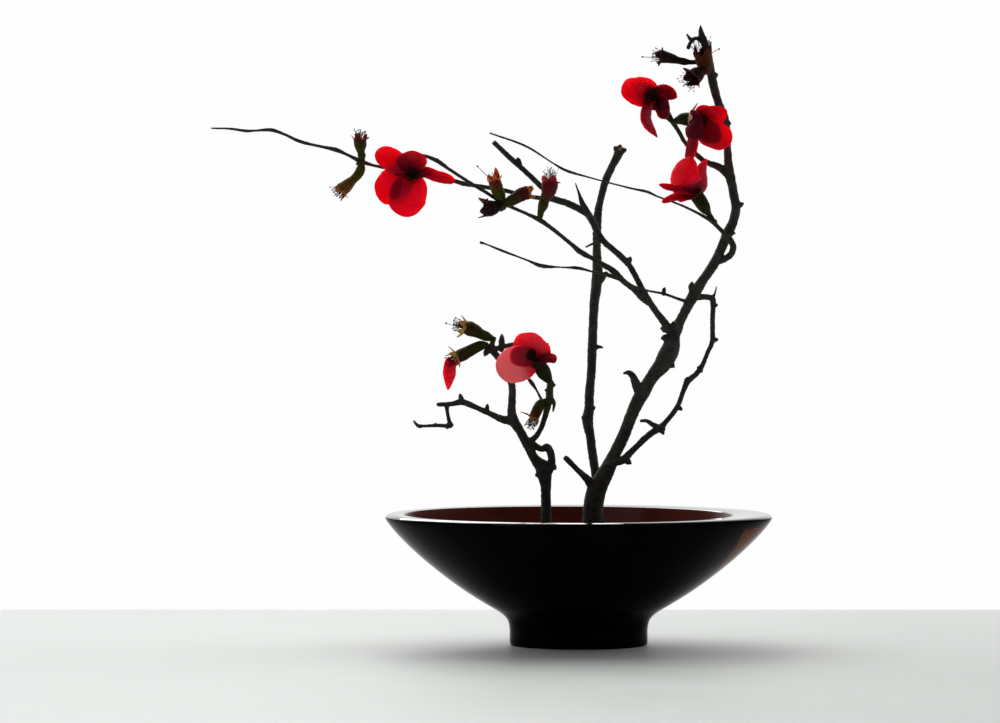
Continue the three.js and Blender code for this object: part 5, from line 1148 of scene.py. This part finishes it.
def make_calyx(name, spec, material, seed):
    """A fleshy tube that opens into a cup with five sepals, their edges a little torn."""
    rows, tangents, normals = mouth_of(spec)
    centre, rim = rows[-1][:3], rows[-1][3]
    tangent, normal = tangents[-1], normals[-1]
    turn, ends = sepal_tips(centre, tangent, normal, rim, spec["sepals"])
    angles = np.linspace(0, 2 * math.pi, CALYX_SIDES, endpoint=False)
    rings, along = [], []
    for row, t, n in zip(rows, tangents, normals):
        rings.append(ring(row[:3], t, n, row[3], CALYX_SIDES))
        along.append(0.6 * len(rings) / len(rows))
    across = np.cross(tangent, normal)
    outs = np.cos(angles)[:, None] * normal + np.sin(angles)[:, None] * across
    reaches, inwards = [], []
    for angle, out in zip(angles, outs):
        k = round((angle - turn) / (2 * math.pi / SEPALS)) % SEPALS
        middle = turn + 2 * math.pi * k / SEPALS
        off = math.remainder(angle - middle, 2 * math.pi) / (math.pi / SEPALS)
        root = centre + rim * (normal * math.cos(middle) + across * math.sin(middle))
        reach = ends[k] - root
        tall = max(0, 1 - abs(off) ** 2.4) ** 0.6
        torn = 1 + 0.12 * bumpy((angle * 9, seed, 0), 1)
        drawn_in = (root - (centre + rim * out)) * 0.35 * tall
        reaches.append(reach * tall * torn + drawn_in * tall + tangent * 0.5)
        inward = unit(centre - root + tangent * rim * 0.5)
        way = unit(reach)
        inwards.append(unit(inward - inward.dot(way) * way))
    reaches, inwards = np.array(reaches), np.array(inwards)
    edge = rings[-1]
    for share in (0.2, 0.4, 0.6, 0.8, 0.93, 1.0):
        curl = -inwards * 0.9 * share ** 3
        rings.append(edge + reaches * share + curl)
        along.append(0.6 + 0.4 * share)
    for share in (1.0, 0.9, 0.7, 0.5, 0.3, 0.1):
        curl = -inwards * 0.9 * share ** 3
        thick = 0.3 + (CALYX_WALL - 0.3) * (1 - share)
        rings.append(edge + reaches * share + curl + inwards * thick)
        along.append(0.6 + 0.4 * share)
    for sink, share in ((0.0, 1), (0.35, 0.95), (0.7, 0.8), (0.9, 0.5), (1.0, 0.15)):
        rings.append(centre + outs * (rim - CALYX_WALL) * share - tangent * sink * CUP_DEPTH * rim)
        along.append(0.6 - 0.2 * sink)
    points, faces = lofted(rings)
    marks = [[(k / CALYX_SIDES), value, seed] for value in along for k in range(CALYX_SIDES)]
    marks += [[0, along[0], seed], [0, along[-1], seed]]
    wrinkle = np.array([0.16 * bumpy(p, 1.6, seed) + 0.4 * bumpy(p, 4.5, seed) for p in points])
    points = points + wrinkle[:, None] * unit_rows(points - centre)
    shape = Shape()
    shape.add(points, faces, np.array(marks))
    return piece(name + "_cup", shape.mesh(name), [name], "calyx_green", material)


def unit_rows(rows):
    return rows / np.maximum(np.linalg.norm(rows, axis=1), 1e-6)[:, None]


def stamen_seat(spec):
    """Where a bloom's stamens stand and which way they point."""
    if "hub" in spec:
        up = unit(np.array(spec["axis"], float))
        return seen(spec["hub"]) + up * (HUB_HEIGHT / 2 + GAP), up
    rows, tangents, _ = mouth_of(spec)
    return rows[-1][:3] - tangents[-1] * (rows[-1][3] * CUP_DEPTH - CALYX_ROOM * GAP), tangents[-1]


def add_thread(shape, start, end, bow, radius, anther):
    """A bowed thread with an anther on its end."""
    middle = (start + end) / 2 + bow
    rows = smooth([[*start, radius * 1.3], [*middle, radius], [*end, radius * 0.8]], 1.6)
    shape.add(*tube(rows, 6, False, True))
    way = unit(end - middle)
    lobes = [(-0.5, 0.35), (-0.3, 0.8), (0, 1), (0.3, 0.8), (0.5, 0.35)]
    points, faces = tube(np.array([[*(end + way * anther * 2.2 * t), anther * r] for t, r in lobes]), 8)
    shape.add(points, faces, (1, 0, 0))


def make_stamens(name, spec, material, seed):
    """A tuft of bowed threads on a low core, and a style where the list gives its end."""
    seat, axis = stamen_seat(spec)
    stamens = spec["stamens"]
    shape = Shape()
    guide = np.array([0, 1, 0] if abs(axis[1]) < 0.8 else [1, 0, 0], float)
    normal = unit(guide - guide.dot(axis) * axis)
    across = np.cross(axis, normal)
    length, core = stamens["length"], stamens["core"]
    rows = np.array([[*(seat + axis * t), core * r] for t, r in
                     ((0, 0.8), (0.1 * length, 1.1), (0.2 * length, 1), (0.3 * length, 0.4))])
    shape.add(*tube(rows, 20), (0.3, 0, 0))
    open_bloom = "hub" in spec
    count = (8 if open_bloom else 5) * stamens["count"]
    for k in range(count):
        share = math.sqrt((k + 0.5) / count)
        angle = k * 2.39996 + seed
        out = normal * math.cos(angle) + across * math.sin(angle)
        tilt = stamens["spread"] * share * (0.8 + 0.4 * draw(seed, k + 50))
        reach = length * (0.6 + 0.5 * draw(seed, k))
        start = seat + out * core * 0.8 * share + axis * 0.18 * length
        end = start + (axis * math.cos(tilt) + out * math.sin(tilt)) * reach
        bow = (out * (draw(seed, k + 20) - 0.3) + across * (draw(k, seed) - 0.5)) * 0.14 * length
        anther = (0.45 if open_bloom else 0.34) + 0.2 * draw(k, seed + 3)
        add_thread(shape, start, end, bow, 0.18, anther)
    if "style" in stamens:
        end = seen(stamens["style"])
        add_thread(shape, seat + axis * 0.2 * length, end, across * 0.4, 0.3, 0.7)
    return piece(name + "_threads", shape.mesh(name), [name], "stamen_dark", material)


# ---------------------------------------------------------------- the arrangement

make_bowl()
make_pin_holder()
make_water()

BARK = bark()
make_branch("branch_tall", TALL_BRANCH, BARK)
make_branch("branch_upright", UPRIGHT_BRANCH, BARK)
make_branch("branch_low", LOW_BRANCH, BARK)

# The fifth colour of each petal look is the painted shade colour that the petals' shade marks blend
# towards.
PETAL_RED = petal_look("petal_red", (0.86, 0.004, 0.06), (0.79, 0.001, 0.036), (0.7, 0.001, 0.02),
                       (0.52, 0.0, 0.018), (0.13, 0.0, 0.012), (1.0, 0.1, 0.12))
PETAL_PALE = petal_look("petal_pale", (0.88, 0.36, 0.4), (0.76, 0.07, 0.13), (0.7, 0.01, 0.06),
                        (0.54, 0.004, 0.04), (0.26, 0.001, 0.014), (1.0, 0.25, 0.3))

for seed, (name, bloom) in enumerate(BLOOMS.items()):
    pale = name == "bloom_low"
    material, slot = (PETAL_PALE, "petal_pale") if pale else (PETAL_RED, "petal_red")
    make_petals(name + "_petals", bloom, material, slot, 10 * seed + 3)

fallen = SPENT["spent_low_down"]["petal"]
last_petal = Shape()
add_petal(last_petal, fallen, seen(fallen["root"]), 90)
last_mesh = last_petal.mesh("spent_low_down_petal")
piece("spent_low_down_sheet", last_mesh, ["spent_low_down_petal"], "petal_red", PETAL_RED)

CALYX_COLORS = {  # base, middle and sepal tips
    "green": ((0.022, 0.034, 0.004), (0.024, 0.022, 0.005), (0.04, 0.016, 0.006)),
    "red_edged": ((0.045, 0.07, 0.005), (0.05, 0.045, 0.005), (0.22, 0.012, 0.016)),
    "orange": ((0.042, 0.062, 0.005), (0.18, 0.075, 0.01), (0.5, 0.2, 0.045)),
    "flame": ((0.05, 0.08, 0.004), (0.16, 0.03, 0.007), (0.75, 0.18, 0.06)),
    "plum": ((0.018, 0.012, 0.008), (0.024, 0.008, 0.01), (0.04, 0.006, 0.012)),
    "crimson": ((0.035, 0.042, 0.006), (0.1, 0.008, 0.008), (0.5, 0.14, 0.02)),
    "rose": ((0.036, 0.05, 0.006), (0.16, 0.008, 0.016), (0.45, 0.03, 0.05)),
    "rust": ((0.05, 0.016, 0.004), (0.12, 0.026, 0.004), (0.07, 0.012, 0.006)),
    "salmon": ((0.022, 0.034, 0.004), (0.024, 0.022, 0.005), (0.8, 0.42, 0.27)),
    "brown": ((0.025, 0.01, 0.006), (0.035, 0.009, 0.007), (0.045, 0.009, 0.008)),
    "yellow": ((0.03, 0.052, 0.004), (0.05, 0.026, 0.007), (0.6, 0.42, 0.1)),
    "russet": ((0.034, 0.05, 0.005), (0.08, 0.025, 0.007), (0.45, 0.2, 0.05)),
}
CALYX_OF = {
    "bloom_right": "salmon", "spent_far_up": "red_edged", "spent_far_down": "orange",
    "spent_mid_up": "flame", "spent_mid_left": "plum", "spent_mid_right": "crimson",
    "spent_near_up": "rose", "spent_top_left": "plum", "spent_top_right": "rust",
    "spent_top_under": "brown", "spent_low_up": "yellow", "spent_low_down": "yellow",
    "spent_shoot": "russet",
}
CALYX = {name: calyx_look("calyx_" + name, *colors) for name, colors in CALYX_COLORS.items()}
STAMEN = stamen_look()

for seed, (name, spec) in enumerate({**BLOOMS, **SPENT}.items()):
    make_calyx(name + "_calyx", spec, CALYX[CALYX_OF.get(name, "green")], seed + 1)
    make_stamens(name + "_stamens", spec, STAMEN, seed)


# ---------------------------------------------------------------- floor, light and camera

AIM_HEIGHT = 0.22     # metres above the floor of the point that the camera and the lights face
LENS = 223            # millimetres, so that the arrangement fills as much of the view as in the photograph


def make_floor():
    """A pale table top that ends a little way behind the bowl."""
    front, back, half, thickness = -1.1, 0.42, 1.6, 0.04
    mesh = bpy.data.meshes.new("floor")
    corners = [(-half, front, 0), (half, front, 0), (half, back, 0), (-half, back, 0)]
    lower = [(x, y, -thickness) for x, y, _ in corners]
    sides = [(0, 1, 5, 4), (1, 2, 6, 5), (2, 3, 7, 6), (3, 0, 4, 7)]
    mesh.from_pydata(corners + lower, [], [(0, 1, 2, 3), (7, 6, 5, 4), *[s[::-1] for s in sides]])
    floor = bpy.data.objects.new("floor", mesh)
    bpy.context.scene.collection.objects.link(floor)
    look = Look("floor_pale", IOR=1.3)
    look.set(Base_Color=look.ramp(look.noise(0.4), [(0.3, (0.51, 0.53, 0.51)), (0.7, (0.54, 0.56, 0.54))]))
    look.set(Roughness=look.ramp(look.noise(0.1), [(0.3, 0.42), (0.7, 0.5)]))
    mesh.materials.append(look.material)


def make_world():
    """A bright white backdrop in a dim room. Its light comes mostly from behind and above."""
    world = bpy.data.worlds.new("studio")
    bpy.context.scene.world = world
    world.use_nodes = True
    nodes, links = world.node_tree.nodes, world.node_tree.links
    nodes.clear()
    way = nodes.new("ShaderNodeTexCoord").outputs["Generated"]
    path = nodes.new("ShaderNodeLightPath")

    def glow(middle, edges):
        """Light whose strength grows towards the middle of the bright wall."""
        near = nodes.new("ShaderNodeVectorMath")
        near.operation = "DOT_PRODUCT"
        near.inputs[1].default_value = middle
        links.new(way, near.inputs[0])
        ramp = nodes.new("ShaderNodeMapRange")
        ramp.interpolation_type = "SMOOTHSTEP"
        for index, value in enumerate(edges, 1):
            ramp.inputs[index].default_value = value
        links.new(near.outputs["Value"], ramp.inputs[0])
        light = nodes.new("ShaderNodeBackground")
        links.new(ramp.outputs[0], light.inputs["Strength"])
        return light.outputs[0]

    def chosen(ray, otherwise, shown):
        """One light for a kind of ray, and another for the rest."""
        mix = nodes.new("ShaderNodeMixShader")
        links.new(path.outputs[ray], mix.inputs[0])
        links.new(otherwise, mix.inputs[1])
        links.new(shown, mix.inputs[2])
        return mix.outputs[0]

    shown = nodes.new("ShaderNodeBackground")
    shown.inputs["Color"].default_value = (0.985, 0.99, 0.99, 1)
    soft = glow((0, 1, 0), (-0.35, 0.8, 0.14, 3.5))
    mixed = chosen("Is Glossy Ray", soft, glow((-0.16, 0.987, 0), (0.6, 0.95, 0.01, 1)))
    mixed = chosen("Is Camera Ray", mixed, shown.outputs[0])
    links.new(mixed, nodes.new("ShaderNodeOutputWorld").inputs[0])


def towards(place, aim):
    """The turn of a camera or light at a place that makes it face an aim."""
    return (aim - place).to_track_quat("-Z", "Y").to_euler()


def make_softbox(name, place, size, power):
    """A square light that faces the middle of the arrangement."""
    lamp = bpy.data.lights.new(name, "AREA")
    lamp.size = size
    lamp.energy = power
    box = bpy.data.objects.new(name, lamp)
    bpy.context.scene.collection.objects.link(box)
    box.location = place
    box.rotation_euler = towards(box.location, Vector((-0.03, 0, AIM_HEIGHT)))


def make_camera():
    """The camera, where the photograph was taken from."""
    camera = bpy.data.cameras.new("camera")
    camera.sensor_width = 36
    camera.lens = LENS
    camera.clip_end = 50
    eye = bpy.data.objects.new("camera", camera)
    bpy.context.scene.collection.objects.link(eye)
    eye.location = EYE * MM
    eye.rotation_euler = towards(eye.location, Vector((EYE[0] * MM, 0, AIM_HEIGHT)))
    bpy.context.scene.camera = eye


make_floor()
make_world()
make_softbox("softbox_back", (-0.5, 1.6, 1.5), 1.4, 22)
make_softbox("softbox_front", (-1.6, -1.8, 1.5), 1.6, 4)
make_camera()
bpy.context.scene.view_settings.view_transform = "Standard"
